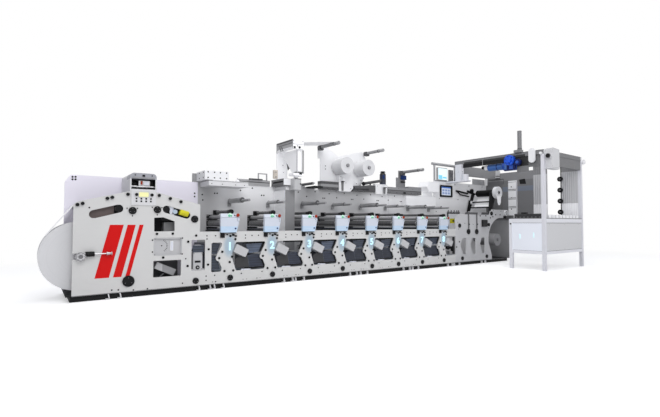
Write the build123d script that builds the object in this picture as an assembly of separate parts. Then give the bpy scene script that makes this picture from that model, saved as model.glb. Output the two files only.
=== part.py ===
from build123d import *
import math
import os

# Flexographic printing press, narrow web, eight print units. Millimetres, +Z up.
# X runs along the web from the unwind to the rewind, Y from the operator's side to the drive side.

# Frame and base
HALF_DEPTH = 400.0
PLATE = 25.0
FRONT = -HALF_DEPTH
FRONT_IN = FRONT + PLATE
BACK = HALF_DEPTH
BACK_IN = BACK - PLATE
DECK_TOP = 100.0
DECK_PLATE = 12.0
PLINTH_SET_BACK = 55.0
PLINTH_WEB = 30.0
CROSS_PITCH = 1050.0
COVER_DEPTH = 220.0
COVER_TOP = 1100.0
SEAT_GAP = 0.3
RUNNING_GAP = 5.0
WALL_TOP = 1935.0
CORNER_CHAMFER = 80.0

# Print units
UNIT_COUNT = 8
UNIT_PITCH = 850.0
FIRST_UNIT = -(UNIT_COUNT - 1) / 2 * UNIT_PITCH
PRINT_LEFT_MARGIN = 345.0
PRINT_RIGHT_MARGIN = 495.0
PRINT_LEFT = FIRST_UNIT - PRINT_LEFT_MARGIN
PRINT_RIGHT = -FIRST_UNIT + PRINT_RIGHT_MARGIN
RAIL_TOP = 1009.0
OPENING_TOP = 815.0
OPENING_BOTTOM = 300.0
OPENING_CORNER = 28.0
BOSS_DX = -205.0
BOSS_Z = 542.0
BOSS_R = 58.0
HUB_Z = 184.0
HUB_R = 52.0
HUB_DEPTH = 18.0
CONSOLE_BOTTOM = 990.0
CONSOLE_TOP = 1327.0
CONSOLE_LEAN_Z = 1262.0
CONSOLE_DEPTH = 55.0
CYLINDER_DX = -100.0
CYLINDER_Z = 1150.0
CYLINDER_R = 70.0
JOURNAL_R = 18.0
METERING_Z = 1268.0
METERING_R = 36.0
BEARING_DEPTH = 50.0
BEARING_TOP = 1318.0
PAN_HEIGHT = 48.0
IMPRESSION_DX = 5.0
IMPRESSION_Z = 1365.0
IMPRESSION_R = 30.0
BRIDGE_DX = 278.0
BRIDGE_Z = 1577.0
BRIDGE_R = 24.0
LONG_REACH = 950.0
SHORT_REACH = 725.0

# Unwind section
UNWIND_LENGTH = 2055.0
UNWIND_LEFT = PRINT_LEFT - UNWIND_LENGTH
WALL_OVERHANG = 75.0
MACHINE_LEFT = UNWIND_LEFT - WALL_OVERHANG
UNWIND_X = UNWIND_LEFT + 100.0
UNWIND_Z = 668.0
UNWIND_ROLL_R = 510.0
UNWIND_SHAFT_R = 38.0
CHUCK_R = 65.0
CHUCK_DEPTH = 70.0
CHUCK_CLEARANCE = 25.0
CORE_R = 76.0
CORE_OVERHANG = 20.0
WEB_WIDTH = 520.0
WEB_THICK = 1.2
UNWIND_SHOULDER = PRINT_LEFT - 205.0
UNWIND_TOP = 1649.0
IDLER_R = 30.0
SLOT_ROLLER_R = 36.0
LEVER_Z = 700.0
GUIDE_WIDTH = 390.0
GUIDE_RIGHT = PRINT_LEFT - 920.0
GUIDE_LEFT = GUIDE_RIGHT - GUIDE_WIDTH
UNWIND_RIDGE_RIGHT = PRINT_LEFT - 880.0
UNWIND_RIDGE = 462.0
GUIDE_TOP = 1950.0
GUIDE_RECESS = 330.0

# Windows of the unwind plate
COVER_X = PRINT_LEFT - 727.0
COVER_Z = 773.0
COVER_WIDTH = 446.0
COVER_HEIGHT = 291.0
TALL_X = PRINT_LEFT - 228.0
TALL_Z = 608.0
TALL_WIDTH = 235.0
TALL_HEIGHT = 527.0
LAMP_X = PRINT_LEFT - 740.0
LAMP_Z = 400.0

# Converting section
CONVERT_TOP = 1410.0
CONVERT_ARM_TOP = 1572.0
CONVERT_LENGTH = 2680.0
MACHINE_RIGHT = PRINT_RIGHT + CONVERT_LENGTH
CONVERT_WALL_LEFT = PRINT_RIGHT + 50.0
CONVERT_WALL_TOP = 2390.0
ARC_X = MACHINE_RIGHT - 484.0
ARC_Z = 685.0
ARC_R = 641.0
HEX_COUNT = 3
HEX_MARGIN = 205.0
HEX_PITCH = (ARC_X - ARC_R - PRINT_RIGHT - HEX_MARGIN) / HEX_COUNT
DIE_LEFT = ARC_X - 1617.0
DIE_RIGHT = ARC_X - 1233.0
REWIND_X = ARC_X - 176.0
REWIND_Z = 668.0
REWIND_R = 184.0
SPINDLE_R = 40.0
WASTE_X = ARC_X - 266.0
WASTE_Z = 2080.0
WASTE_R = 180.0
WASTE_DEPTH = 110.0
WASTE_CORE_R = 100.0
WASTE_SHAFT_R = 25.0
WASTE_WEB_X = WASTE_X - 240.0
WASTE_WEB_Z = 1640.0
WASTE_BAR_R = 20.0

# Web turner above the second and third units
RISER_UNIT = 2
RISER_LEFT = FIRST_UNIT + 1292.0
RISER_RIGHT = FIRST_UNIT + 1520.0
RISER_BOTTOM = 600.0
RISER_TOP = 1840.0
RISER_REACH = 475.0
TURNER_LEFT = FIRST_UNIT + 1355.0
TURNER_RIGHT = FIRST_UNIT + 1615.0
TURNER_WEB_X = FIRST_UNIT + 1475.0
TURNER_HEAD_Z = 2660.0
TURNER_TOP = 2870.0
TURNER_FRONT = -290.0
TURNER_SHEET = 12.0
TURNER_FOOT_Z = 2130.0
TURNER_FOOT_TOP = 2180.0
TURNER_ROLL_R = 68.0
TURNER_ROLL_Y = -200.0
TURNER_BAR_R = 22.0
TURNER_IDLER_R = 25.0

# Film roll stand
STAND_Z = 2497.0
STAND_ROLLS = (18.0, 676.0)
STAND_ROLL_R = 195.0
STAND_ROLL_LENGTH = 350.0
STAND_ROLL_SET_BACK = 40.0
STAND_ROD_R = 38.0
STAND_ROD_Z = 2903.0
MOTOR_FOOT = 2157.0
MOTOR_R = 80.0

# Booth and table at the delivery end
BOOTH_OVERHANG = 60.0
BOOTH_WIDTH = 2010.0
BOOTH_X1 = MACHINE_RIGHT + BOOTH_OVERHANG
BOOTH_X0 = BOOTH_X1 - BOOTH_WIDTH
BOOTH_Y0 = -2430.0
BOOTH_REAR = 120.0
COLUMN_X = BOOTH_X0 - 50.0
COLUMN_WIDTH = 110.0
POST = 80.0
POST_TOP = 2860.0
BEAM = 110.0
FRONT_BEAM_BOTTOM = 2610.0
REAR_BEAM_BOTTOM = 2560.0
REAR_BEAM_TOP = 2845.0
TABLE_DECK = 1295.0
SLAT_HEIGHT = 80.0
TABLE_TOP = TABLE_DECK + SLAT_HEIGHT
TABLE_BOARD = 20.0
TABLE_RAIL = 95.0
TABLE_BACK = -1550.0
TRAY_TOP = TABLE_DECK + 105.0
SLAT_PITCH = 185.0
SLAT_WIDTH = 95.0
SLAT_MARGIN = 150.0
LOW_RAIL_BOTTOM = 405.0
LOW_RAIL_TOP = 475.0
BOOTH_WALL_BOTTOM = TABLE_DECK - 45.0
SILL_BOTTOM = BOOTH_WALL_BOTTOM - 60.0
WALL_RIB_PITCH = 60.0
RIB = 12.0
DOOR_FRONT = -1950.0
DOOR_BACK = -1560.0
WALL_END = -1150.0
CABINET_GAP = 30.0
CABINET_TOP = 2690.0
FAN_R = 70.0
FAN_COUNT = 4
FAN_PITCH = 310.0
BLOWER_X = BOOTH_X0 + 130.0
BLOWER_Z = POST_TOP - 160.0
BLOWER_R = 150.0
BLOWER_BODY_R = 95.0


def block(x0, x1, y0, y1, z0, z1):
    """Box between two corners."""
    size = Box(x1 - x0, y1 - y0, z1 - z0)
    return Pos((x0 + x1) / 2, (y0 + y1) / 2, (z0 + z1) / 2) * size


def slab(outline, front, back):
    """Outline drawn as (x, z), given its thickness from the front to the back face."""
    return Pos(0, back, 0) * Rot(90, 0, 0) * extrude(outline, amount=back - front)


def face(*points):
    """Straight-sided outline through the given (x, z) points."""
    return make_face(Polyline(*points, close=True))


def panel(x0, x1, z0, z1):
    """Rectangular outline between two corners."""
    return Pos((x0 + x1) / 2, (z0 + z1) / 2) * Rectangle(x1 - x0, z1 - z0)


def rounded(outline, radius):
    """The same outline with all its corners rounded."""
    return fillet(outline.vertices(), radius)


def drum(x, z, radius, front, back):
    """Cylinder along the depth of the machine."""
    return slab(Pos(x, z) * Circle(radius), front, back)


def ring(x, z, radius, bore, front, back):
    """Round sleeve along the depth of the machine."""
    return slab(Pos(x, z) * (Circle(radius) - Circle(bore)), front, back)


def upright(x, y, radius, low, high):
    """Vertical cylinder."""
    return Pos(x, y, (low + high) / 2) * Cylinder(radius, high - low)


def slot(x0, z0, x1, z1, radius):
    """Slot outline between two end centres."""
    centre = Pos((x0 + x1) / 2, (z0 + z1) / 2)
    turn = Rot(0, 0, math.degrees(math.atan2(z1 - z0, x1 - x0)))
    return centre * turn * SlotCenterToCenter(math.hypot(x1 - x0, z1 - z0), 2 * radius)


def unit_x(index):
    """Middle of a print unit, counted from 0 at the unwind end."""
    return FIRST_UNIT + index * UNIT_PITCH


def units():
    return [unit_x(index) for index in range(UNIT_COUNT)]


def column_left(x):
    """Left edge of a unit's column, from the bottom up."""
    steps = ((-171, OPENING_BOTTOM), (-152, 366), (-205, 486), (-244, 605), (-163, 750), (-144, OPENING_TOP))
    return [(x + dx, z) for dx, z in steps]


def column_right(x):
    """Right edge of a unit's column, from the top down."""
    steps = ((100, OPENING_TOP), (35, 618), (43, 504), (112, OPENING_BOTTOM))
    return [(x + dx, z) for dx, z in steps]


def print_window(right_edge, left_edge):
    """One window between two columns, with its outer corners rounded."""
    outline = face(*right_edge, *left_edge)
    rows = outline.vertices().group_by(Axis.Y)
    return fillet(rows[0] + rows[-1], OPENING_CORNER)


def openings():
    """Nine windows between the unit columns, with the round bosses left standing in them."""
    edges = [[(PRINT_LEFT, OPENING_TOP), (PRINT_LEFT, OPENING_BOTTOM)]]
    edges += [column_right(x) for x in units()]
    closings = [column_left(x) for x in units()]
    closings += [[(PRINT_RIGHT, OPENING_BOTTOM), (PRINT_RIGHT, OPENING_TOP)]]
    shapes = [print_window(right_edge, left_edge) for right_edge, left_edge in zip(edges, closings)]
    bosses = [Pos(x + BOSS_DX, BOSS_Z) * Circle(BOSS_R) for x in units()]
    return Sketch() + shapes - bosses


def base_frame():
    """Deck plate on a plinth of edge webs and cross webs."""
    rear = BACK + COVER_DEPTH
    under = DECK_TOP - DECK_PLATE
    frame = block(MACHINE_LEFT, MACHINE_RIGHT, FRONT, rear, under, DECK_TOP)
    low = FRONT + PLINTH_SET_BACK
    high = rear - PLINTH_SET_BACK
    left = MACHINE_LEFT + PLINTH_SET_BACK
    right = MACHINE_RIGHT - PLINTH_SET_BACK
    frame += block(left, right, low, low + PLINTH_WEB, 0, under)
    frame += block(left, right, high - PLINTH_WEB, high, 0, under)
    for step in range(-int(-left // CROSS_PITCH), int(right // CROSS_PITCH) + 1):
        x = step * CROSS_PITCH
        frame += block(x - PLINTH_WEB / 2, x + PLINTH_WEB / 2, low, high, 0, under)
    frame += block(left, left + PLINTH_WEB, low, high, 0, under)
    frame += block(right - PLINTH_WEB, right, low, high, 0, under)
    return frame


def unwind_outline():
    left = UNWIND_LEFT
    right = PRINT_LEFT
    outline = face(
        (left, DECK_TOP),
        (right, DECK_TOP),
        (right, RAIL_TOP),
        (UNWIND_SHOULDER, RAIL_TOP),
        (UNWIND_SHOULDER, UNWIND_TOP - 174),
        (right - 536, UNWIND_TOP - 89),
        (UNWIND_RIDGE_RIGHT, UNWIND_TOP),
        (UNWIND_RIDGE_RIGHT - UNWIND_RIDGE, UNWIND_TOP),
        (left + 114, UNWIND_TOP - 159),
        (left + 40, UNWIND_TOP - 183),
        (left, UNWIND_TOP - 224),
    )
    return outline


def upper_slots():
    """Two slanted slots, in which rollers show."""
    left = slot(UNWIND_LEFT + 258, 1288, UNWIND_LEFT + 593, 1380, 62)
    right = slot(PRINT_LEFT - 758, 1383, PRINT_LEFT - 432, 1292, 60)
    return [left, right]


def unwind_front_plate():
    x = PRINT_LEFT
    notch = slot(UNWIND_LEFT - 200, UNWIND_Z, UNWIND_X, UNWIND_Z, UNWIND_SHAFT_R + 7)
    top_window = face((x - 945, 1020), (x - 625, 1024), (x - 628, 1186), (x - 805, 1251), (x - 949, 1243))
    plate = unwind_outline() - notch - upper_slots()
    plate -= rounded(top_window, 12)
    plate -= Pos(COVER_X, COVER_Z) * RectangleRounded(COVER_WIDTH, COVER_HEIGHT, 25)
    plate -= rounded(panel(x - 950, x - 515, 283, 548), 12)
    plate -= Pos(TALL_X, TALL_Z) * RectangleRounded(TALL_WIDTH, TALL_HEIGHT, 20)
    return slab(plate, FRONT, FRONT_IN)


def front_frame(x0, x1):
    rails = panel(x0, x1, DECK_TOP, RAIL_TOP)
    return slab(rails - openings(), FRONT, FRONT_IN)


def hex_window(x):
    """Six-sided window of the converting plate, from its upper left corner."""
    outline = face((x, 745), (x + 160, 745), (x + 155, 290), (x + 20, 295), (x - 95, 555))
    return rounded(outline, 12)


def convert_front_plate():
    """Plate with three windows and the large round cut-out in front of the rewind roll."""
    right = PRINT_RIGHT
    low_z = 594
    low = (ARC_X - math.sqrt(ARC_R ** 2 - (ARC_Z - low_z) ** 2), low_z)
    top = (ARC_X, ARC_Z + ARC_R)
    turn = math.radians(32)
    middle = (ARC_X - ARC_R * math.cos(turn), ARC_Z + ARC_R * math.sin(turn))
    bounds = Polyline(
        top,
        (ARC_X + 284, ARC_Z + ARC_R),
        (ARC_X + 319, CONVERT_TOP + 30),
        (ARC_X + 284, CONVERT_ARM_TOP),
        (ARC_X - 476, CONVERT_ARM_TOP),
        (ARC_X - 556, CONVERT_ARM_TOP - 42),
        (ARC_X - 626, CONVERT_TOP),
        (right + 170, CONVERT_TOP),
        (right, CONVERT_TOP - 110),
        (right, DECK_TOP),
        (ARC_X - 467, DECK_TOP),
        (ARC_X - 493, DECK_TOP + 151),
        low,
    )
    plate = make_face(bounds + ThreePointArc(low, middle, top))
    for step in range(HEX_COUNT):
        plate -= hex_window(right + 315 + step * HEX_PITCH)
    return slab(plate, FRONT, FRONT_IN)


def back_wall_left():
    wall = face(
        (MACHINE_LEFT, DECK_TOP),
        (PRINT_LEFT, DECK_TOP),
        (PRINT_LEFT, WALL_TOP),
        (MACHINE_LEFT + CORNER_CHAMFER, WALL_TOP),
        (MACHINE_LEFT, WALL_TOP - 1.5 * CORNER_CHAMFER),
    )
    return slab(wall, BACK_IN, BACK)


def back_wall_middle():
    return slab(panel(PRINT_LEFT, CONVERT_WALL_LEFT, DECK_TOP, WALL_TOP), BACK_IN, BACK)


def back_wall_right():
    return slab(panel(CONVERT_WALL_LEFT, MACHINE_RIGHT, DECK_TOP, CONVERT_WALL_TOP), BACK_IN, BACK)


def end_wall():
    return block(MACHINE_RIGHT - PLATE, MACHINE_RIGHT, FRONT, BACK_IN, DECK_TOP, CONVERT_WALL_TOP)


def drive_cover():
    cover = block(PRINT_LEFT, PRINT_RIGHT, BACK, BACK + COVER_DEPTH, DECK_TOP, COVER_TOP)
    edge = cover.edges().filter_by(Axis.X).sort_by(Axis.Z)[-2:].sort_by(Axis.Y)[-1]
    return chamfer(edge, 60)


def drip_tray():
    top = OPENING_BOTTOM - 2
    return block(PRINT_LEFT, PRINT_RIGHT, FRONT_IN, BACK_IN, top - 10, top)


def unwind_roll():
    half = WEB_WIDTH / 2
    return ring(UNWIND_X, UNWIND_Z, UNWIND_ROLL_R, CORE_R + SEAT_GAP, -half, half)


def unwind_shaft():
    half = WEB_WIDTH / 2 + CORE_OVERHANG
    shaft = drum(UNWIND_X, UNWIND_Z, UNWIND_SHAFT_R, FRONT - CHUCK_DEPTH + 20, BACK_IN - SEAT_GAP)
    return shaft + drum(UNWIND_X, UNWIND_Z, CORE_R, -half, half)


def unwind_chucks():
    """Cap on the front plate and bearing block on the back wall, which carry the roll's shaft."""
    bore = UNWIND_SHAFT_R + SEAT_GAP
    front = drum(UNWIND_X, UNWIND_Z, CHUCK_R, FRONT - CHUCK_DEPTH, FRONT)
    front -= drum(UNWIND_X, UNWIND_Z, bore, FRONT - CHUCK_DEPTH + 19, FRONT)
    block_front = WEB_WIDTH / 2 + CORE_OVERHANG + CHUCK_CLEARANCE
    rear = slab(Pos(UNWIND_X, UNWIND_Z) * (Rectangle(180, 180) - Circle(bore)), block_front, BACK_IN)
    return [front, rear]


def unwind_lever():
    """Locking lever with a thick grip, held by a stem on the plate."""
    y = FRONT - 40
    grip = Pos(UNWIND_LEFT + 215, y, LEVER_Z) * Rot(0, 90, 0) * Cylinder(34, 127)
    rod = Pos(UNWIND_LEFT + 357, y, LEVER_Z) * Rot(0, 90, 0) * Cylinder(10, 160)
    tip = Pos(UNWIND_LEFT + 468, y, LEVER_Z) * Rot(0, 90, 0) * Cone(30, 12, 70)
    stem = block(UNWIND_LEFT + 433, UNWIND_LEFT + 459, y - 15, FRONT, LEVER_Z - 13, LEVER_Z + 13)
    return grip + rod + tip + stem


FIRST_IDLER = (UNWIND_LEFT + 48, UNWIND_TOP - 229)


def unwind_idlers():
    """Idlers along the top edge of the plate and the rollers behind its slots."""
    left = UNWIND_LEFT
    right = PRINT_LEFT
    centres = [
        FIRST_IDLER,
        (left + 112, UNWIND_TOP - 209),
        (left + 432, UNWIND_TOP - 123),
        (left + 498, UNWIND_TOP - 104),
        (left + 714, UNWIND_TOP - 47),
        (UNWIND_RIDGE_RIGHT, UNWIND_TOP - 47),
        (right - 707, UNWIND_TOP - 91),
        (right - 535, UNWIND_TOP - 137),
    ]
    rolls = [drum(x, z, IDLER_R, FRONT_IN, BACK_IN) for x, z in centres]
    for x, z in ((left + 575, 1375), (right - 740, 1378), (right - 620, 1345), (right - 455, 1298)):
        rolls.append(drum(x, z, SLOT_ROLLER_R, FRONT + 5, BACK_IN))
    return rolls


def front_hubs():
    """Black caps on the front plates: centre, height and radius."""
    left = PRINT_LEFT
    right = PRINT_RIGHT
    caps = [(x, HUB_Z, HUB_R) for x in units()]
    caps += [(left - 1270, 1352, 57), (left - 903, 1373, 57), (left - 301, 1225, 60)]
    caps += [(left - 1311, 257, 86), (left - 270, 178, HUB_R)]
    caps += [(right + 179, 1097, 57), (DIE_LEFT, 927, 75), (DIE_RIGHT, 922, 75)]
    caps += [(ARC_X - 629, 1122, 50), (ARC_X - 483, 1452, 60)]
    caps += [(right + 293, 193, HUB_R), (ARC_X - 746, 194, HUB_R)]
    return [drum(x, z, r, FRONT - HUB_DEPTH, FRONT) for x, z, r in caps]


def web_guide_housing():
    outer = panel(GUIDE_LEFT, GUIDE_RIGHT, UNWIND_TOP, GUIDE_TOP)
    outer = fillet(outer.vertices().sort_by(Axis.Y)[-2:], 60)
    inner = panel(GUIDE_LEFT + 18, GUIDE_RIGHT - 18, UNWIND_TOP + 40, GUIDE_TOP - 90)
    return slab(outer, FRONT, BACK_IN) - slab(inner, FRONT, FRONT + GUIDE_RECESS)


def web_guide_plate():
    plate = panel(GUIDE_LEFT + 18, GUIDE_RIGHT - 9, UNWIND_TOP - 209, UNWIND_TOP + 45)
    return slab(rounded(plate, 10), FRONT - 14, FRONT)


def window_cover():
    """Recessed cover in the middle window, on a flange behind the plate."""
    cover = Pos(COVER_X, COVER_Z) * RectangleRounded(COVER_WIDTH - 4, COVER_HEIGHT - 4, 23)
    inner = Pos(COVER_X, COVER_Z) * RectangleRounded(COVER_WIDTH - 40, COVER_HEIGHT - 40, 12)
    shell = slab(cover, FRONT_IN - 20, FRONT_IN + 20) - slab(inner, FRONT_IN - 20, FRONT_IN + 8)
    rim = Pos(COVER_X, COVER_Z) * Rectangle(COVER_WIDTH + 40, COVER_HEIGHT + 34)
    return shell + (slab(rim, FRONT_IN, FRONT_IN + 20) - slab(cover, FRONT_IN, FRONT_IN + 20))


def lower_window_parts():
    """Slanted lamp box behind the low window and the control block in the tall one."""
    lamp = Pos(LAMP_X, 0, LAMP_Z) * Rot(0, 25, 0) * Box(330, 620, 110)
    lamp += drum(LAMP_X, LAMP_Z, 25, 0, BACK_IN)
    back = FRONT_IN + 120
    blocks = slab(panel(TALL_X - 77, TALL_X + 78, TALL_Z - 236, TALL_Z + 52), FRONT_IN, back)
    blocks += slab(panel(TALL_X - 52, TALL_X + 58, TALL_Z + 52, TALL_Z + 172), FRONT_IN, back)
    blocks += slab(panel(TALL_X - 142, TALL_X + 123, TALL_Z - 293, TALL_Z - 236), FRONT_IN, back)
    return [lamp, blocks]


def print_console(x):
    """Operator's console, with an upper edge that leans back."""
    shape = face(
        (x - 198, CONSOLE_BOTTOM),
        (x + 91, CONSOLE_BOTTOM),
        (x + 149, CONSOLE_BOTTOM + 221),
        (x + 149, CONSOLE_TOP - 27),
        (x + 125, CONSOLE_TOP),
        (x - 198, CONSOLE_TOP),
    )
    nose = FRONT - CONSOLE_DEPTH
    body = slab(rounded(shape, 12), nose, FRONT)
    lean = Polyline(
        (nose - 5, CONSOLE_LEAN_Z),
        (nose, CONSOLE_LEAN_Z),
        (FRONT - 25, CONSOLE_TOP + 1),
        (nose - 5, CONSOLE_TOP + 1),
        close=True,
    )
    wedge = extrude(Plane.YZ * make_face(lean), amount=300, both=True)
    return body - Pos(x, 0, 0) * wedge


def console_block(x):
    return slab(rounded(panel(x - 191, x - 113, RAIL_TOP - 111, RAIL_TOP - 35), 8), FRONT - 22, FRONT)


def console_strip(x):
    return slab(panel(x - 195, x + 85, CONSOLE_BOTTOM - 14, CONSOLE_BOTTOM), FRONT - 40, FRONT)


def bearing_blocks(x):
    """Front and rear block that carry one plate cylinder."""
    plate = panel(x - 172, x + 30, RAIL_TOP, BEARING_TOP)
    plate -= Pos(x + CYLINDER_DX, CYLINDER_Z) * Circle(JOURNAL_R + SEAT_GAP)
    front = slab(plate, FRONT, FRONT + BEARING_DEPTH)
    rear = slab(plate, BACK_IN - BEARING_DEPTH, BACK_IN)
    return [front, rear]


def plate_cylinder(index):
    x = unit_x(index) + CYLINDER_DX
    front = FRONT + BEARING_DEPTH
    back = BACK_IN - BEARING_DEPTH
    body = drum(x, CYLINDER_Z, CYLINDER_R, front + 25, back - 25)
    return body + drum(x, CYLINDER_Z, JOURNAL_R, front - 35, back + 35)


def metering_roller(x):
    front = FRONT + BEARING_DEPTH
    back = BACK_IN - BEARING_DEPTH
    return drum(x + CYLINDER_DX, METERING_Z, METERING_R, front, back)


def ink_pan(x):
    """Open pan under the plate cylinder, between the two bearing blocks."""
    front = FRONT + BEARING_DEPTH
    back = BACK_IN - BEARING_DEPTH
    outline = face(
        (x - 165, RAIL_TOP),
        (x + 25, RAIL_TOP),
        (x + 25, RAIL_TOP + PAN_HEIGHT),
        (x + 15, RAIL_TOP + PAN_HEIGHT),
        (x - 15, RAIL_TOP + 10),
        (x - 125, RAIL_TOP + 10),
        (x - 155, RAIL_TOP + PAN_HEIGHT),
        (x - 165, RAIL_TOP + PAN_HEIGHT),
    )
    return slab(outline, front, back)


def impression_roller(x):
    roller = drum(x + IMPRESSION_DX, IMPRESSION_Z, IMPRESSION_R, FRONT + 45, BACK_IN)
    return roller + drum(x + IMPRESSION_DX, IMPRESSION_Z, IMPRESSION_R + 12, FRONT + 2, FRONT + 45)


def ink_trays(index):
    """Upper and lower slanted tray in a unit's window; the riser duct takes the upper one's place."""
    x = unit_x(index)
    lower = face((x - 440, 575), (x - 230, 575), (x - 170, 345), (x - 430, 330))
    upper = face((x - 395, 797), (x - 170, 797), (x - 233, 612), (x - 455, 626))
    shapes = [lower] if index == RISER_UNIT else [lower, upper]
    return [slab(rounded(shape, 10), FRONT_IN + 20, BACK_IN) for shape in shapes]


def deflector_box(x):
    """Light box that leans out of the window, on a shaft from the back wall."""
    shape = face((x + 112, 783), (x + 341, 669), (x + 273, 537), (x + 52, 643))
    return slab(rounded(shape, 14), FRONT - 45, FRONT + 160) + drum(x + 195, 660, 22, FRONT + 160, BACK_IN)


def bridge_idler(index):
    """Idler between two units, held by a bracket on the back wall."""
    x = unit_x(index) + BRIDGE_DX
    reach = LONG_REACH if index % 2 == 0 else SHORT_REACH
    rod = drum(x, BRIDGE_Z, BRIDGE_R, BACK_IN - reach, BACK_IN)
    if index % 2 == 0:
        rod += block(x - 30, x + 30, BACK_IN - 560, BACK_IN - 520, BRIDGE_Z - 34, BRIDGE_Z + 30)
    bracket = block(x - 26, x + 26, BACK_IN - 60, BACK_IN, BRIDGE_Z - 90, BRIDGE_Z)
    return rod + bracket


def top_ducts():
    """Ledge, rails, brackets and the guard frame along the top of the wall."""
    left = FIRST_UNIT
    top = WALL_TOP
    ledge = block(left - 296, left + 476, BACK_IN - 475, BACK_IN, top - 89, top + 15)
    bracket = block(left - 449, left - 229, BACK_IN, BACK, top, top + 165)
    rail = block(left + 490, left + 1180, BACK_IN - 20, BACK + 20, top, top + 120)
    rail = rail - block(left + 490, left + 1180, BACK_IN - 20, BACK_IN, top, top + 1)
    guard = slab(panel(left + 916, left + 1129, top + 120, top + 270), BACK_IN, BACK)
    guard -= slab(panel(left + 936, left + 1109, top + 120, top + 250), BACK_IN, BACK)
    bar = block(left + 2075, left + 2315, BACK_IN - 30, BACK, top, top + 40)
    rod = drum(left + 2005, top + 85, 16, BACK_IN - 485, BACK_IN)
    rod_foot = block(left + 1985, left + 2075, BACK_IN, BACK, top, top + 110)
    return [ledge, bracket, rail, guard, bar, rod, rod_foot]


def dryer_boxes():
    """Boxes on the ledge and beside the web turner."""
    left = FIRST_UNIT
    bolted = block(left - 373, left + 82, BACK_IN - 475, BACK_IN, WALL_TOP + 15, WALL_TOP + 180)
    dome = Pos(left + 276, BACK_IN - 420, WALL_TOP + 15) * Sphere(40)
    dome &= block(left + 200, left + 350, BACK_IN - 475, BACK_IN, WALL_TOP + 15, WALL_TOP + 80)
    beige = block(TURNER_LEFT - 85, TURNER_LEFT, BACK_IN - 40, BACK, WALL_TOP + 175, WALL_TOP + 360)
    right = TURNER_LEFT + 38
    slotted = block(left + 1226, right, BACK_IN - 527, BACK_IN, WALL_TOP - 5, WALL_TOP + 135)
    slotted -= block(left + 1226, left + 1250, BACK_IN - 450, BACK_IN - 80, WALL_TOP + 50, WALL_TOP + 90)
    dark = block(left + 1313, right, BACK_IN - 460, BACK_IN, RISER_TOP, WALL_TOP - 5)
    return [bolted, dome, beige, slotted, dark]


def riser_duct():
    """Upright duct on the back wall below the web turner."""
    return block(RISER_LEFT, RISER_RIGHT, BACK_IN - RISER_REACH, BACK_IN, RISER_BOTTOM, RISER_TOP)


def turner_body():
    """Body of the web turner in front of the wall, with rounded front corners."""
    body = block(TURNER_LEFT + 40, TURNER_RIGHT - 40, TURNER_FRONT, BACK_IN, RISER_TOP, WALL_TOP + 135)
    edges = body.edges().filter_by(Axis.Z).sort_by(Axis.Y)[:2]
    return fillet(edges, 40)


def turner_frame():
    """Rear panel, head with its cheeks, foot plate and the turning bar at 45 degrees."""
    x0 = TURNER_LEFT
    x1 = TURNER_RIGHT
    sheet = TURNER_SHEET
    frame = block(x0, x1, BACK_IN, BACK, WALL_TOP, TURNER_TOP)
    frame += block(x0, x1, TURNER_FRONT, BACK_IN, TURNER_TOP - sheet, TURNER_TOP)
    frame += block(x0, x1, TURNER_FRONT, TURNER_FRONT + sheet, TURNER_HEAD_Z, TURNER_TOP)
    frame += block(x0, x0 + sheet, TURNER_FRONT, BACK_IN, TURNER_HEAD_Z + 60, TURNER_TOP)
    frame += block(TURNER_WEB_X + 25, x1, TURNER_FRONT, BACK_IN, TURNER_HEAD_Z, TURNER_HEAD_Z + sheet)
    frame += block(x0 + 20, x1, TURNER_FRONT, TURNER_FRONT + 200, TURNER_FOOT_Z, TURNER_FOOT_TOP)
    frame += upright((x0 + x1) / 2, TURNER_ROLL_Y, 45, WALL_TOP + 135, TURNER_FOOT_Z)
    length = (BACK_IN + 125) * math.sqrt(2)
    bar_x = TURNER_WEB_X + WEB_THICK / 2 + SEAT_GAP + TURNER_BAR_R
    bar_z = TURNER_FOOT_TOP - 15 + length / math.sqrt(8)
    bar = Pos(bar_x, BACK_IN - length / math.sqrt(8), bar_z) * Rot(-45, 0, 0) * Cylinder(TURNER_BAR_R, length)
    return frame + bar


def turner_rollers():
    """Upright roll that the web wraps, and two idlers in the head."""
    roll_x = TURNER_WEB_X + WEB_THICK / 2 + SEAT_GAP + TURNER_ROLL_R
    roll = upright(roll_x, TURNER_ROLL_Y, TURNER_ROLL_R, TURNER_FOOT_TOP + 20, TURNER_HEAD_Z - 10)
    roll += upright(roll_x, TURNER_ROLL_Y, TURNER_IDLER_R, TURNER_FOOT_TOP, TURNER_HEAD_Z)
    near = drum(TURNER_LEFT + 60, TURNER_HEAD_Z + 40, TURNER_IDLER_R, TURNER_FRONT + TURNER_SHEET, BACK_IN)
    far_front = TURNER_FRONT + TURNER_SHEET
    far = drum(TURNER_RIGHT - 55, TURNER_HEAD_Z + 140, TURNER_IDLER_R, far_front, BACK_IN)
    return [roll, near, far]


def roll_stand():
    """Plate on the wall that carries the two film rolls."""
    left = STAND_ROLLS[0] - 560
    right = STAND_ROLLS[1] + 244
    shape = face(
        (left + 65, WALL_TOP),
        (left + 941, WALL_TOP),
        (right - 161, WALL_TOP + 161),
        (right - 77, WALL_TOP + 333),
        (right, WALL_TOP + 830),
        (right - 127, WALL_TOP + 1011),
        (left + 571, WALL_TOP + 820),
        (left + 262, WALL_TOP + 996),
        (left, WALL_TOP + 1002),
        (left, WALL_TOP + 725),
        (left + 65, WALL_TOP + 725),
    )
    return slab(shape, BACK_IN, BACK)


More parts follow.
